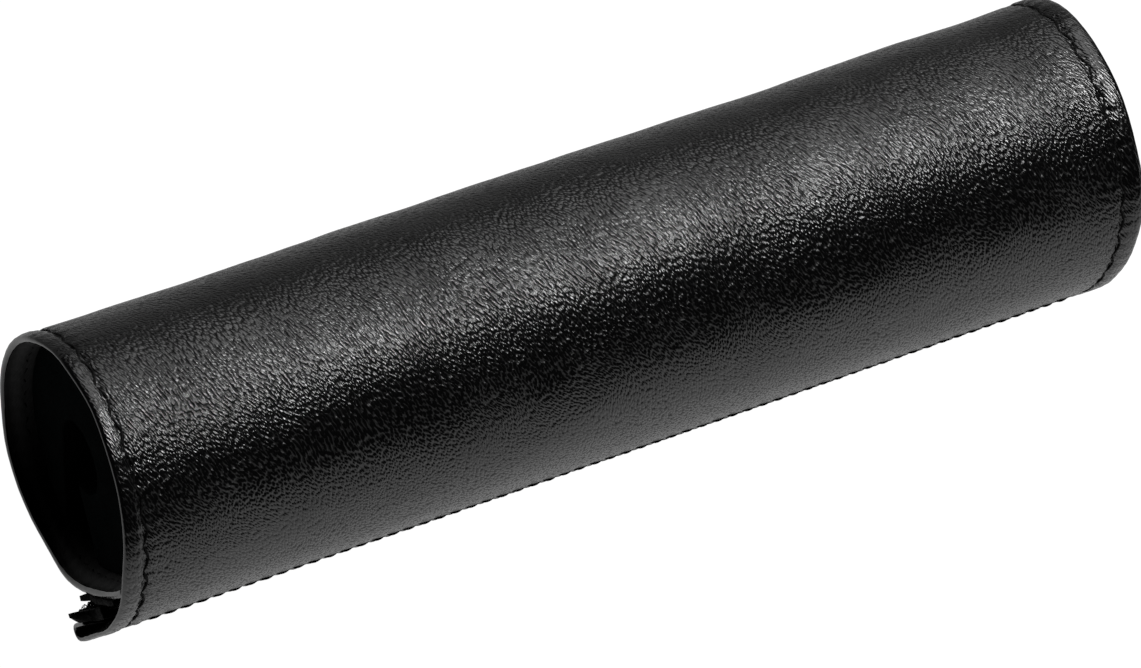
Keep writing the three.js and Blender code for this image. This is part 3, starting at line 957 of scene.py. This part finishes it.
# %% [markdown]
# The points come from numpy, where the sheet's own distances are known. They are handed to the tree as a
# mesh of loose points with two attributes, and what the tree makes of them replaces that mesh.

# %% Copy threads to points of the sheet
def bake_modifiers(target):
    """Replaces an object's mesh by what its modifiers make of it, and removes the modifiers."""
    graph = bpy.context.evaluated_depsgraph_get()
    mesh = bpy.data.meshes.new_from_object(target.evaluated_get(graph))
    target.modifiers.clear()
    target.data = mesh


def thread_points(s, x, depth, facing, turn):
    """Points at (s, x, depth) with their two directions. turn is the angle from +X towards growing s."""
    given = (np.asarray(values, float) for values in (s, x, depth, turn))
    s, x, depth, turn = (values.ravel() for values in np.broadcast_arrays(*given))
    normal_y, normal_z = read_trace(s)[2:]
    out = np.stack([np.zeros_like(s), normal_y, normal_z], axis=1) * facing
    run = np.stack([np.cos(turn), np.sin(turn) * normal_z, -np.sin(turn) * normal_y], axis=1)
    return place(s, x, depth), run, out


def copy_threads(name, groups, finish, **sizes):
    """One mesh of bent threads at all the points of some groups. Sizes are named as the tree's inputs."""
    places, runs, outs = (np.concatenate(parts) for parts in zip(*groups))
    mesh = bpy.data.meshes.new(name)
    mesh.from_pydata(places.tolist(), [], [])
    for label, values in (("run", runs), ("out", outs)):
        attribute = mesh.attributes.new(label, "FLOAT_VECTOR", "POINT")
        attribute.data.foreach_set("vector", values.astype(np.float32).reshape(-1))
    made = bpy.data.objects.new(name, mesh)
    bpy.context.scene.collection.objects.link(made)
    modifier = made.modifiers.new("threads", "NODES")
    modifier.node_group = BENT_THREADS
    wanted = {label.replace("_", " ").title(): value for label, value in sizes.items()} | {"Finish": finish}
    for socket in BENT_THREADS.interface.items_tree:
        if socket.in_out == "INPUT" and socket.name in wanted:
            modifier[socket.identifier] = wanted[socket.name]
    bake_modifiers(made)
    print(f"{name}: {len(places)} threads, {len(made.data.polygons)} faces")
    return made


# %% [markdown]
# ## Finishes
#
# The leatherette is black plastic pressed with a hide grain: low worm-like pebbles about 0.4 mm wide and
# 1.2 mm long that follow one direction over a patch and then turn. The grain is far too fine for the mesh,
# so it is bump. It is drawn on the flat sheet's own coordinates, which the wrap carries in an attribute, so
# it runs round the pad without stretching.
#
# A few helpers come first: to mix two values or two colours, to add a noise, and to ease from 0 to 1.

# %% Mix, noise and ease
def mix_values(tree, factor, a, b):
    return add_node(tree, "ShaderNodeMix", {0: factor, 2: a, 3: b}).outputs[0]


def mix_colours(tree, factor, a, b):
    return add_node(tree, "ShaderNodeMix", {0: factor, 6: a, 7: b}, data_type="RGBA").outputs[2]


def noise(tree, position, scale, detail=2.0, roughness=0.5):
    return add_node(tree, "ShaderNodeTexNoise", {
        "Vector": position, "Scale": scale, "Detail": detail, "Roughness": roughness,
    })


def smooth_range(tree, value, low, high):
    return add_node(tree, "ShaderNodeMapRange", {
        "Value": value, "From Min": low, "From Max": high,
    }, interpolation_type="SMOOTHSTEP").outputs[0]


# %% [markdown]
# A pebble is the space round one point of a Voronoi texture. Its height is 1 less the squared distance, a
# round dome, because a dome's slopes point every way evenly and so break a highlight into fine glints. The
# coordinates are first pushed about by a slow noise and then stretched, which makes the worms wander.

# %% The hide grain
GRAIN_TURN = 65
GRAIN_SMOOTHNESS = 0.35
DOME_WIDTH = 1.25
FINE_SHARE = 0.25
FINE_QUICKENS = 1.1
GRAIN_INPUTS = (("Cells per m", 2000.0), ("Stretch", 2.0), ("Wander", 0.0055), ("Patches per m", 45.0))


def hide_grain_group():
    """Pebbles that follow a wandering direction. Puts out their height, and a slow mask of patches."""
    group = bpy.data.node_groups.new("hide_grain", "ShaderNodeTree")
    input_socket(group, "Place", "NodeSocketVector")
    for label, value in GRAIN_INPUTS:
        input_socket(group, label, "NodeSocketFloat", value)
    for label in ("Height", "Patches"):
        output_socket(group, label, "NodeSocketFloat")
    given = group.nodes.new("NodeGroupInput").outputs

    drift = noise(group, given["Place"], given["Patches per m"], detail=1.0)
    centred = add_node(group, "ShaderNodeVectorMath", {
        0: drift.outputs["Color"], 1: (0.5, 0.5, 0.5),
    }, operation="SUBTRACT")
    moved = add_node(group, "ShaderNodeVectorMath", {
        0: centred.outputs[0], "Scale": given["Wander"],
    }, operation="SCALE")
    wandered = add_node(group, "ShaderNodeVectorMath", {
        0: given["Place"], 1: moved.outputs[0],
    }, operation="ADD")
    turned = add_node(group, "ShaderNodeMapping", {
        "Vector": wandered.outputs[0], "Rotation": (0, 0, math.radians(GRAIN_TURN)),
    })
    squash = math_node(group, "DIVIDE", 1.0, given["Stretch"])
    stretched = add_node(group, "ShaderNodeVectorMath", {
        0: turned.outputs[0],
        1: add_node(group, "ShaderNodeCombineXYZ", {"X": squash, "Y": 1.0, "Z": 0.0}).outputs[0],
    }, operation="MULTIPLY").outputs[0]
    pebble = add_node(group, "ShaderNodeTexVoronoi", {
        "Vector": stretched, "Scale": given["Cells per m"], "Smoothness": GRAIN_SMOOTHNESS,
    }, voronoi_dimensions="2D", feature="SMOOTH_F1")
    across = math_node(group, "MULTIPLY", pebble.outputs["Distance"], DOME_WIDTH)
    rounded = math_node(group, "SUBTRACT", 1.0, math_node(group, "MULTIPLY", across, across))
    fine_scale = math_node(group, "MULTIPLY", given["Cells per m"], FINE_QUICKENS)
    fine = noise(group, stretched, fine_scale, detail=1.5)
    height = mix_values(group, FINE_SHARE, rounded, fine.outputs["Fac"])
    add_node(group, "NodeGroupOutput", {"Height": height, "Patches": drift.outputs["Fac"]})
    return group


HIDE_GRAIN = hide_grain_group()
print("hide_grain:", len(HIDE_GRAIN.nodes), "nodes")

# %% [markdown]
# The leatherette's own colour is nearly black, and its gloss does most of the rest: ridges are smoother than
# valleys. The valleys are also coloured a little darker than the ridges, as painted shade in the grain. The
# grain is pressed flatter in the hems, which were folded and sewn, and nearly away on their noses, where the
# coating is stretched round the fold and shines.

# %% The leatherette
GRAIN_CELLS = 2350
GRAIN_STRETCH = 2.8
GRAIN_HEIGHT = 0.27 * MM
GRAIN_WEAR = (0.75, 1.0)
PATCH_FADES = (0.35, 0.65)
RIDGE_FADES = (0.35, 0.75)
# Painted shade: the grain's valleys are coloured darker than its ridges.
VALLEY_PAINTED_SHADE = (0.0012, 0.0012, 0.0013, 1)
RIDGE_BLACK = (0.0032, 0.0032, 0.0033, 1)
VALLEY_ROUGHNESS, RIDGE_ROUGHNESS = 0.40, 0.16
INSIDE_ROUGHNESS, NOSE_ROUGHNESS = 0.75, 0.16
INSIDE_FADES = (0.3 * MM, 1.2 * MM)
HEM_FADES = (RING_X * MM, (RING_X + 1.5) * MM)
NOSE_FADES = ((HALF_LENGTH - 0.9) * MM, (HALF_LENGTH - 0.3) * MM)
GRAIN_LEFT_INSIDE, GRAIN_LEFT_IN_HEM, GRAIN_LEFT_ON_NOSE = 0.15, 0.6, 0.2


def new_material(name, **sockets):
    """A material with its Principled shader, and constant values set on the shader's own sockets."""
    material = bpy.data.materials.new(name)
    material.use_nodes = True
    tree = material.node_tree
    shader = tree.nodes["Principled BSDF"]
    for label, value in sockets.items():
        shader.inputs[label.replace("_", " ").title().replace("Ior", "IOR")].default_value = value
    return material, tree, shader


def bump(tree, height, distance, normal=None):
    inputs = {"Height": height, "Distance": distance, "Strength": 1.0}
    if normal is not None:
        inputs["Normal"] = normal
    return add_node(tree, "ShaderNodeBump", inputs).outputs[0]


def leatherette_material():
    """Glossy black with the hide grain, which fades inside, in the hems and on their noses."""
    material, tree, shader = new_material("black_leatherette", specular_ior_level=0.8)
    position = add_node(tree, "ShaderNodeAttribute", attribute_name="sheet_place").outputs["Vector"]
    grain = tree.nodes.new("ShaderNodeGroup")
    grain.node_tree = HIDE_GRAIN
    tree.links.new(position, grain.inputs["Place"])
    grain.inputs["Cells per m"].default_value = GRAIN_CELLS
    grain.inputs["Stretch"].default_value = GRAIN_STRETCH
    wear = smooth_range(tree, grain.outputs["Patches"], *PATCH_FADES)
    parts = add_node(tree, "ShaderNodeSeparateXYZ", {0: position}).outputs
    from_middle = math_node(tree, "ABSOLUTE", parts["X"])
    inside = smooth_range(tree, parts["Z"], *INSIDE_FADES)
    hem = smooth_range(tree, from_middle, *HEM_FADES)
    nose = smooth_range(tree, from_middle, *NOSE_FADES)
    height = math_node(tree, "MULTIPLY", grain.outputs["Height"], mix_values(tree, wear, *GRAIN_WEAR))
    for mask, left in (
        (inside, GRAIN_LEFT_INSIDE), (hem, GRAIN_LEFT_IN_HEM), (nose, GRAIN_LEFT_ON_NOSE),
    ):
        height = math_node(tree, "MULTIPLY", height, mix_values(tree, mask, 1.0, left))
    tree.links.new(bump(tree, height, GRAIN_HEIGHT), shader.inputs["Normal"])
    # Painted shade: the base colour darkens from the ridges down into the grain's valleys.
    colour = mix_colours(tree, grain.outputs["Height"], VALLEY_PAINTED_SHADE, RIDGE_BLACK)
    tree.links.new(colour, shader.inputs["Base Color"])
    ridge = smooth_range(tree, grain.outputs["Height"], *RIDGE_FADES)
    rough = mix_values(tree, ridge, VALLEY_ROUGHNESS, RIDGE_ROUGHNESS)
    rough = mix_values(tree, inside, rough, INSIDE_ROUGHNESS)
    rough = mix_values(tree, nose, rough, NOSE_ROUGHNESS)
    tree.links.new(rough, shader.inputs["Roughness"])
    return material


# %% [markdown]
# The knit, the foam and the nylon are matt, so each needs only a small bump and a cloudy colour on Object
# coordinates. Foam has torn cells of several sizes. Nylon shines a little where a thread turns.

# %% The knit, the foam and the nylon
RIB_SCALE = 600
FUZZ_SCALE = 2500
KNIT_HEIGHT = 0.12 * MM
KNIT_DARK, KNIT_PALE = (0.008, 0.008, 0.009, 1), (0.022, 0.022, 0.024, 1)
FOAM_CELL_SCALE = 1400
FOAM_CLOUD_SCALE = 160
FOAM_CLOUD_SHARE = 0.6
PORE_FADES = (0.1, 0.5)
FOAM_HEIGHT = 0.3 * MM
FOAM_DARK, FOAM_PALE = (0.003, 0.0036, 0.0036, 1), (0.008, 0.0095, 0.0095, 1)
NYLON_SPOT_SCALE = 900
NYLON_HEIGHT = 0.6 * MM


def grey(level):
    return (level, level, level, 1)


def backing_material():
    """The knit on the back of the leatherette: fine ribs."""
    material, tree, shader = new_material("knit_backing", roughness=0.95, sheen_weight=0.3)
    position = add_node(tree, "ShaderNodeTexCoord").outputs["Object"]
    ribs = add_node(tree, "ShaderNodeTexWave", {
        "Vector": position, "Scale": RIB_SCALE, "Distortion": 1.5, "Detail": 1.0,
    }, bands_direction="X")
    fuzz = noise(tree, position, FUZZ_SCALE, detail=3)
    height = mix_values(tree, 0.5, ribs.outputs["Fac"], fuzz.outputs["Fac"])
    tree.links.new(bump(tree, height, KNIT_HEIGHT), shader.inputs["Normal"])
    colour = mix_colours(tree, height, KNIT_DARK, KNIT_PALE)
    tree.links.new(colour, shader.inputs["Base Color"])
    return material


def foam_material():
    """Closed-cell foam: small torn cells, and a faint green in its black."""
    material, tree, shader = new_material("black_foam", roughness=0.95, specular_ior_level=0.0)
    position = add_node(tree, "ShaderNodeTexCoord").outputs["Object"]
    cells = add_node(tree, "ShaderNodeTexVoronoi", {"Vector": position, "Scale": FOAM_CELL_SCALE})
    pores = smooth_range(tree, cells.outputs["Distance"], *PORE_FADES)
    clouds = noise(tree, position, FOAM_CLOUD_SCALE, detail=4)
    height = mix_values(tree, FOAM_CLOUD_SHARE, pores, clouds.outputs["Fac"])
    tree.links.new(bump(tree, height, FOAM_HEIGHT), shader.inputs["Normal"])
    colour = mix_colours(tree, clouds.outputs["Fac"], FOAM_DARK, FOAM_PALE)
    tree.links.new(colour, shader.inputs["Base Color"])
    return material


def nylon_material(name, dark, pale, rough):
    """Nylon tape or thread, cloudy between a dark and a paler grey."""
    material, tree, shader = new_material(name, roughness=rough, specular_ior_level=0.12)
    position = add_node(tree, "ShaderNodeTexCoord").outputs["Object"]
    spots = noise(tree, position, NYLON_SPOT_SCALE, detail=2)
    colour = mix_colours(tree, spots.outputs["Fac"], grey(dark), grey(pale))
    tree.links.new(colour, shader.inputs["Base Color"])
    tree.links.new(bump(tree, spots.outputs["Fac"], NYLON_HEIGHT), shader.inputs["Normal"])
    return material


LEATHERETTE = leatherette_material()
BACKING = backing_material()
FOAM = foam_material()
HOOK_NYLON = nylon_material("hook_nylon", dark=0.002, pale=0.02, rough=0.8)
LOOP_NYLON = nylon_material("loop_nylon", dark=0.003, pale=0.02, rough=0.85)
THREAD = nylon_material("black_thread", dark=0.001, pale=0.004, rough=0.7)
print("finishes:", sorted(material.name for material in bpy.data.materials))

# %% [markdown]
# The wrap takes two finishes: leatherette outside and on everything that is turned in, and the knit
# backing on the inner face and on the cut edges.

# %% Give the pieces their finishes
def paint_wrap(wrap, ring):
    wrap.data.materials.append(LEATHERETTE)
    wrap.data.materials.append(BACKING)
    columns = len(ring)
    inside = (np.abs(ring[:, 0]) < HEM_START) & (ring[:, 1] > 0) & (ring[:, 2] == 0)
    slots = np.zeros(len(wrap.data.polygons), dtype=np.int32)
    for polygon in wrap.data.polygons:
        corners = [index % columns for index in polygon.vertices]
        cut_edge = len(corners) == 3
        slots[polygon.index] = int(cut_edge or all(inside[c] for c in corners))
    wrap.data.polygons.foreach_set("material_index", slots)


paint_wrap(wrap, ring)
foam.data.materials.append(FOAM)
hook_strip.data.materials.append(HOOK_NYLON)
loop_strip.data.materials.append(LOOP_NYLON)

# %% [markdown]
# ## Stitching
#
# Every seam shows on two faces: the needle thread outside and the bobbin thread inside. The two rings hold
# the turned-in ends. The long rows hold the tape and the turned edge of the flap.

# %% Find the middle of each stitch
THREAD_THICKNESS = 0.62
STITCH_SINK = 0.28
STITCH_RISE = 0.30
THREAD_BEDDED = 0.1
LONG_SINK = 0.06
LONG_RISE = 0.42
MID_GROOVE = GROOVE_DEPTH * (1 - BETWEEN_HOLES)
RING_ZIGZAG = 0.32
SEAM_MARGIN = 2.0
RING_STITCH_SHARE = 0.96
LONG_STITCH_SHARE = 0.8


def centres(start, end):
    """Middles of the stitches between two distances. The needle holes are at whole pitches."""
    first = math.ceil(start / STITCH_PITCH)
    last = math.floor(end / STITCH_PITCH)
    return (np.arange(first, last) + 0.5) * STITCH_PITCH


def wrap_face(s, x):
    """Depth of the groove's floor, halfway between two needle holes."""
    return -body_relief(s, x) + MID_GROOVE


def hem_depth(s):
    """Depth of the turned-in layer's free face under the ring of stitches."""
    return SHEET + (pressed_hem(RING_X) - SHEET) * tip_squeeze(s)


def ring_seam(side, facing):
    """One ring of stitches. They lean to and fro a little, as a thick thread does in soft cloth."""
    s = centres(SEAM_MARGIN, S_END - SEAM_MARGIN)
    x = np.full_like(s, side * RING_X)
    face = wrap_face(s, x) if facing > 0 else hem_depth(s) - body_relief(s, x) - THREAD_BEDDED
    zigzag = math.pi / 2 + RING_ZIGZAG * (-1) ** np.arange(len(s))
    return thread_points(s, x, face + facing * STITCH_SINK, facing, zigzag)


def long_seam(seam, face_depth, facing):
    """One seam along the pad, at the distance seam, on the face at this depth."""
    x = centres(-RING_X + SEAM_MARGIN, RING_X - SEAM_MARGIN)
    s = np.full_like(x, seam)
    return thread_points(s, x, face_depth(s, x) + facing * LONG_SINK, facing, 0.0)


def hook_face(s, x):
    return hook_depth(s, x) + hook_thickness(s)


def loop_face(s, x):
    return loop_depth(s, x) - LOOP_BASE


def panel_back(s, x):
    return SHEET - body_relief(s, x)


# %% [markdown]
# A ring's stitches are sunk in their groove, as the photo shows. Along the flap the thread lies on the
# surface, and each stitch stands out alone.

# %% Sew the seams
STITCH = dict(
    length=STITCH_PITCH * RING_STITCH_SHARE * MM, rise=STITCH_RISE * MM, thickness=THREAD_THICKNESS * MM,
    uneven=0.03, sides=6, steps=6, seed=3,
)
end_stitching = copy_threads(
    "end_stitching", [ring_seam(side, facing) for side in (-1, 1) for facing in (1, -1)], THREAD, **STITCH
)
LONG_STITCH = STITCH | {"rise": LONG_RISE * MM, "length": STITCH_PITCH * LONG_STITCH_SHARE * MM}
flap_stitching = copy_threads(
    "flap_stitching",
    [long_seam(seam, face, facing) for seam in (EDGE_SEAM_S, TAPE_SEAM_S)
     for face, facing in ((wrap_face, 1), (hook_face, -1))],
    THREAD, **LONG_STITCH,
)
panel_stitching = copy_threads(
    "panel_stitching",
    [long_seam(seam, face, facing) for seam in PANEL_SEAMS_S
     for face, facing in ((loop_face, 1), (panel_back, -1))],
    THREAD, **LONG_STITCH,
)

# %% [markdown]
# ## The pile of the tapes
#
# Hook tape has stiff hooks in straight rows, and loop tape a tangle of fine loops. Both are the bent thread
# again, with other sizes: the hook's far end is lifted, and the loops stand at random.

# %% Place the hooks and the loops
HOOK_ROWS = 14
HOOK_PITCH = 1.15
HOOK_MARGIN = 0.6
HOOK_END_MARGIN = 0.8
HOOK_SHIFT = 0.15
HOOK_TWIST = 0.3
PILE_SINK = 0.1
PILE_MARGIN = 0.3
LOOP_COUNT = 5200
LOOP_END_MARGIN = 1.8
LOOP_LEAN = 0.5
FRAY_COUNT = 240
FRAY_REACH = 6.0
FRAY_END_MARGIN = 2.4
FRAY_CROWDING = 1.5
FRAY_LEAN = 0.4


def hook_points():
    """Straight rows of hooks that open to one side or the other."""
    s = np.linspace(HOOK_S[0] + HOOK_MARGIN, HOOK_S[1] - HOOK_MARGIN, HOOK_ROWS)
    x = np.arange(-HALF_LENGTH + HOOK_END_MARGIN, HALF_LENGTH - HOOK_END_MARGIN, HOOK_PITCH)
    s, x = np.meshgrid(s, x, indexing="ij")
    random = np.random.default_rng(SEED + 5)
    x = x + random.uniform(-HOOK_SHIFT, HOOK_SHIFT, x.shape)
    turn = random.choice([0, math.pi], x.shape) + random.uniform(-HOOK_TWIST, HOOK_TWIST, x.shape)
    return thread_points(s, x, hook_face(s, x) - PILE_SINK, -1, turn)


def loop_points():
    """Loops that stand at random and lean every way."""
    random = np.random.default_rng(SEED + 6)
    s = random.uniform(LOOP_S[0] + PILE_MARGIN, LOOP_S[1] - PILE_MARGIN, LOOP_COUNT)
    x = random.uniform(-HALF_LENGTH + LOOP_END_MARGIN, HALF_LENGTH - LOOP_END_MARGIN, LOOP_COUNT)
    turn = random.uniform(0, 2 * math.pi, LOOP_COUNT)
    points, run, out = thread_points(s, x, loop_face(s, x) + PILE_SINK, 1, turn)
    return points, run, out + LOOP_LEAN * random.normal(size=out.shape)


def frayed_points():
    """Loose threads at the cut ends of both tapes. They stand across the gap between the two."""
    random = np.random.default_rng(SEED + 7)
    groups = []
    for side in (-1, 1):
        for (low, high), face, facing in ((HOOK_S, hook_face, -1), (LOOP_S, loop_face, 1)):
            s = random.uniform(low + PILE_MARGIN, high - PILE_MARGIN, FRAY_COUNT)
            inward = FRAY_REACH * random.uniform(0, 1, FRAY_COUNT) ** FRAY_CROWDING
            x = side * (HALF_LENGTH - FRAY_END_MARGIN - inward)
            turn = random.uniform(0, 2 * math.pi, FRAY_COUNT)
            places, run, out = thread_points(s, x, face(s, x) + PILE_SINK * facing, facing, turn)
            lean = FRAY_LEAN * random.normal(size=out.shape)
            groups.append((places, run, out + lean))
    return groups


# %% [markdown]
# Each kind of pile is one mesh. No thread is thicker than a sixth of a millimetre, so three sides do.

# %% Grow the pile
hooks = copy_threads(
    "hook_pile", [hook_points()], HOOK_NYLON, length=0.7 * MM, rise=0.9 * MM, end_lift=0.6 * MM,
    thickness=0.17 * MM, uneven=0.08, sides=3, steps=5, seed=5,
)
loops = copy_threads(
    "loop_pile", [loop_points()], LOOP_NYLON, length=1.5 * MM, rise=1.0 * MM, end_lift=0.0,
    thickness=0.11 * MM, uneven=0.3, sides=3, steps=5, seed=6,
)
frays = copy_threads(
    "frayed_ends", frayed_points(), LOOP_NYLON, length=1.4 * MM, rise=0.9 * MM, end_lift=1.3 * MM,
    thickness=0.16 * MM, uneven=0.35, sides=3, steps=5, seed=8,
)

# %% [markdown]
# ## Light
#
# The leatherette is black, so what shows is mostly what it reflects. A narrow strip light above gives the
# sharp streak, a wide soft box behind it fades the streak out towards the back, and the dark ceiling in
# front of the strip gives the dark band. Below that the pale floor is mirrored. The lamps together stay
# near a plain level, so that the pad looks right under other light too, and the gloss makes the streak. A
# light's angle is measured round the pad, from straight behind it up over its top.

# %% Set up the lights
# The X of every direction from which a light is mirrored into the camera: the camera's own, turned round.
MIRRORED_X = 0.363


def area_light(name, angle, distance, size_along, size_round, radiance, offset_x=0.0, tilt=0.0):
    """A soft box that faces the pad. At a radiance of 1 it is as bright as white paper."""
    level = math.sqrt(1 - MIRRORED_X**2)
    up = math.radians(angle)
    back = Vector((MIRRORED_X, level * math.cos(up), level * math.sin(up)))
    round_pad = back.cross(Vector((1, 0, 0))).normalized()
    along = round_pad.cross(back)
    lamp = bpy.data.lights.new(name, "AREA")
    lamp.shape = "RECTANGLE"
    lamp.size, lamp.size_y = size_along, size_round
    lamp.energy = radiance * math.pi * size_along * size_round
    made = bpy.data.objects.new(name, lamp)
    bpy.context.scene.collection.objects.link(made)
    turn = Matrix((along, round_pad, back)).transposed().to_4x4()
    turn = turn @ Matrix.Rotation(math.radians(tilt), 4, "Z")
    centre = Vector((offset_x, AXIS_Y, AXIS_Z)) + back * distance
    made.matrix_world = Matrix.Translation(centre) @ turn
    print(f"{name}: {lamp.energy:.1f} W")


area_light(
    "strip_light", 79, distance=0.9, size_along=0.6, size_round=0.13, radiance=27, offset_x=-0.04, tilt=-32
)
area_light("wide_soft_box", 40, distance=1.0, size_along=0.9, size_round=0.85, radiance=1.65)

# %% [markdown]
# The floor is pale paper. Seen directly it is white, and it still takes the pad's soft shadow. Mirrored in
# the leatherette it is grey, and it falls off behind the pad, which keeps the pad's upper edge dark, and
# again far ahead of it. The world is dark above and grey near the horizon.

# %% Set up the world and the floor
WORLD_PALE = 0.22
WORLD_DARK = 0.01
WORLD_FADES = (-0.1, 0.42)
FLOOR_LIT = 0.92
FLOOR_GLOW = 1.1
FLOOR_MIRRORED = 0.5
FLOOR_BEHIND = 0.09
FLOOR_FADES = (0.03, 0.09)
FLOOR_AHEAD = 0.5
FLOOR_SIZE = 8
FLOOR_DROP = 0.05 * MM
AHEAD_FADES = (-0.1, -0.6)


def make_world():
    """A studio: dark overhead, grey near the horizon."""
    world = bpy.data.worlds.new("studio")
    bpy.context.scene.world = world
    world.use_nodes = True
    tree = world.node_tree
    direction = add_node(tree, "ShaderNodeTexCoord").outputs["Generated"]
    height = add_node(tree, "ShaderNodeSeparateXYZ", {0: direction}).outputs["Z"]
    up = smooth_range(tree, height, *WORLD_FADES)
    level = mix_values(tree, up, WORLD_PALE, WORLD_DARK)
    tree.links.new(level, tree.nodes["Background"].inputs["Strength"])


def make_floor():
    """Paper that takes light and shadow, with a plain white laid over it for the camera."""
    bpy.ops.mesh.primitive_plane_add(size=FLOOR_SIZE, location=(0, 0, -FLOOR_DROP))
    floor = bpy.context.object
    floor.name = "pale_floor"
    material, tree, shader = new_material("floor_paper", roughness=0.9, base_color=(0.8, 0.8, 0.8, 1))
    rays = add_node(tree, "ShaderNodeLightPath").outputs
    seen = math_node(tree, "MAXIMUM", rays["Is Camera Ray"], rays["Is Glossy Ray"])
    seen = math_node(tree, "MAXIMUM", seen, rays["Is Transmission Ray"])
    position = add_node(tree, "ShaderNodeTexCoord").outputs["Object"]
    away = add_node(tree, "ShaderNodeSeparateXYZ", {0: position}).outputs["Y"]
    behind = smooth_range(tree, away, *FLOOR_FADES)
    mirrored = mix_values(tree, behind, FLOOR_MIRRORED, FLOOR_BEHIND)
    ahead = mix_values(tree, smooth_range(tree, away, *AHEAD_FADES), 1.0, FLOOR_AHEAD)
    mirrored = math_node(tree, "MULTIPLY", mirrored, ahead)
    level = mix_values(tree, rays["Is Camera Ray"], mirrored, FLOOR_GLOW)
    white = add_node(tree, "ShaderNodeEmission", {"Strength": level})
    share = math_node(tree, "MULTIPLY", seen, FLOOR_LIT)
    mix = add_node(tree, "ShaderNodeMixShader", {0: share, 1: shader.outputs[0], 2: white.outputs[0]})
    tree.links.new(mix.outputs[0], tree.nodes["Material Output"].inputs[0])
    floor.data.materials.append(material)
    return floor


make_world()
floor = make_floor()
bpy.context.scene.view_settings.view_transform = "Standard"
print("stage:", floor.name)

# %% [markdown]
#
# Every piece rides on the pad's one body. The table also names what kind of soft thing each piece is, which
# is not used here, and the model's solid that the piece stands for, which is hidden.

PIECES = (
    (wrap, "leatherette", "leatherette_cover"),
    (foam, "foam", "foam_core"),
    (hook_strip, "hook_fabric", "hook_tape"),
    (loop_strip, "loop_fabric", "loop_tape"),
    (hooks, "hook_fabric", None),
    (loops, "loop_fabric", None),
    (frays, "loop_fabric", None),
    (end_stitching, "hook_fabric", None),
    (flap_stitching, "hook_fabric", None),
    (panel_stitching, "hook_fabric", None),
)
for piece, slot_name, solid in PIECES:
    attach(piece, "root")
    if solid:
        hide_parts(solid)
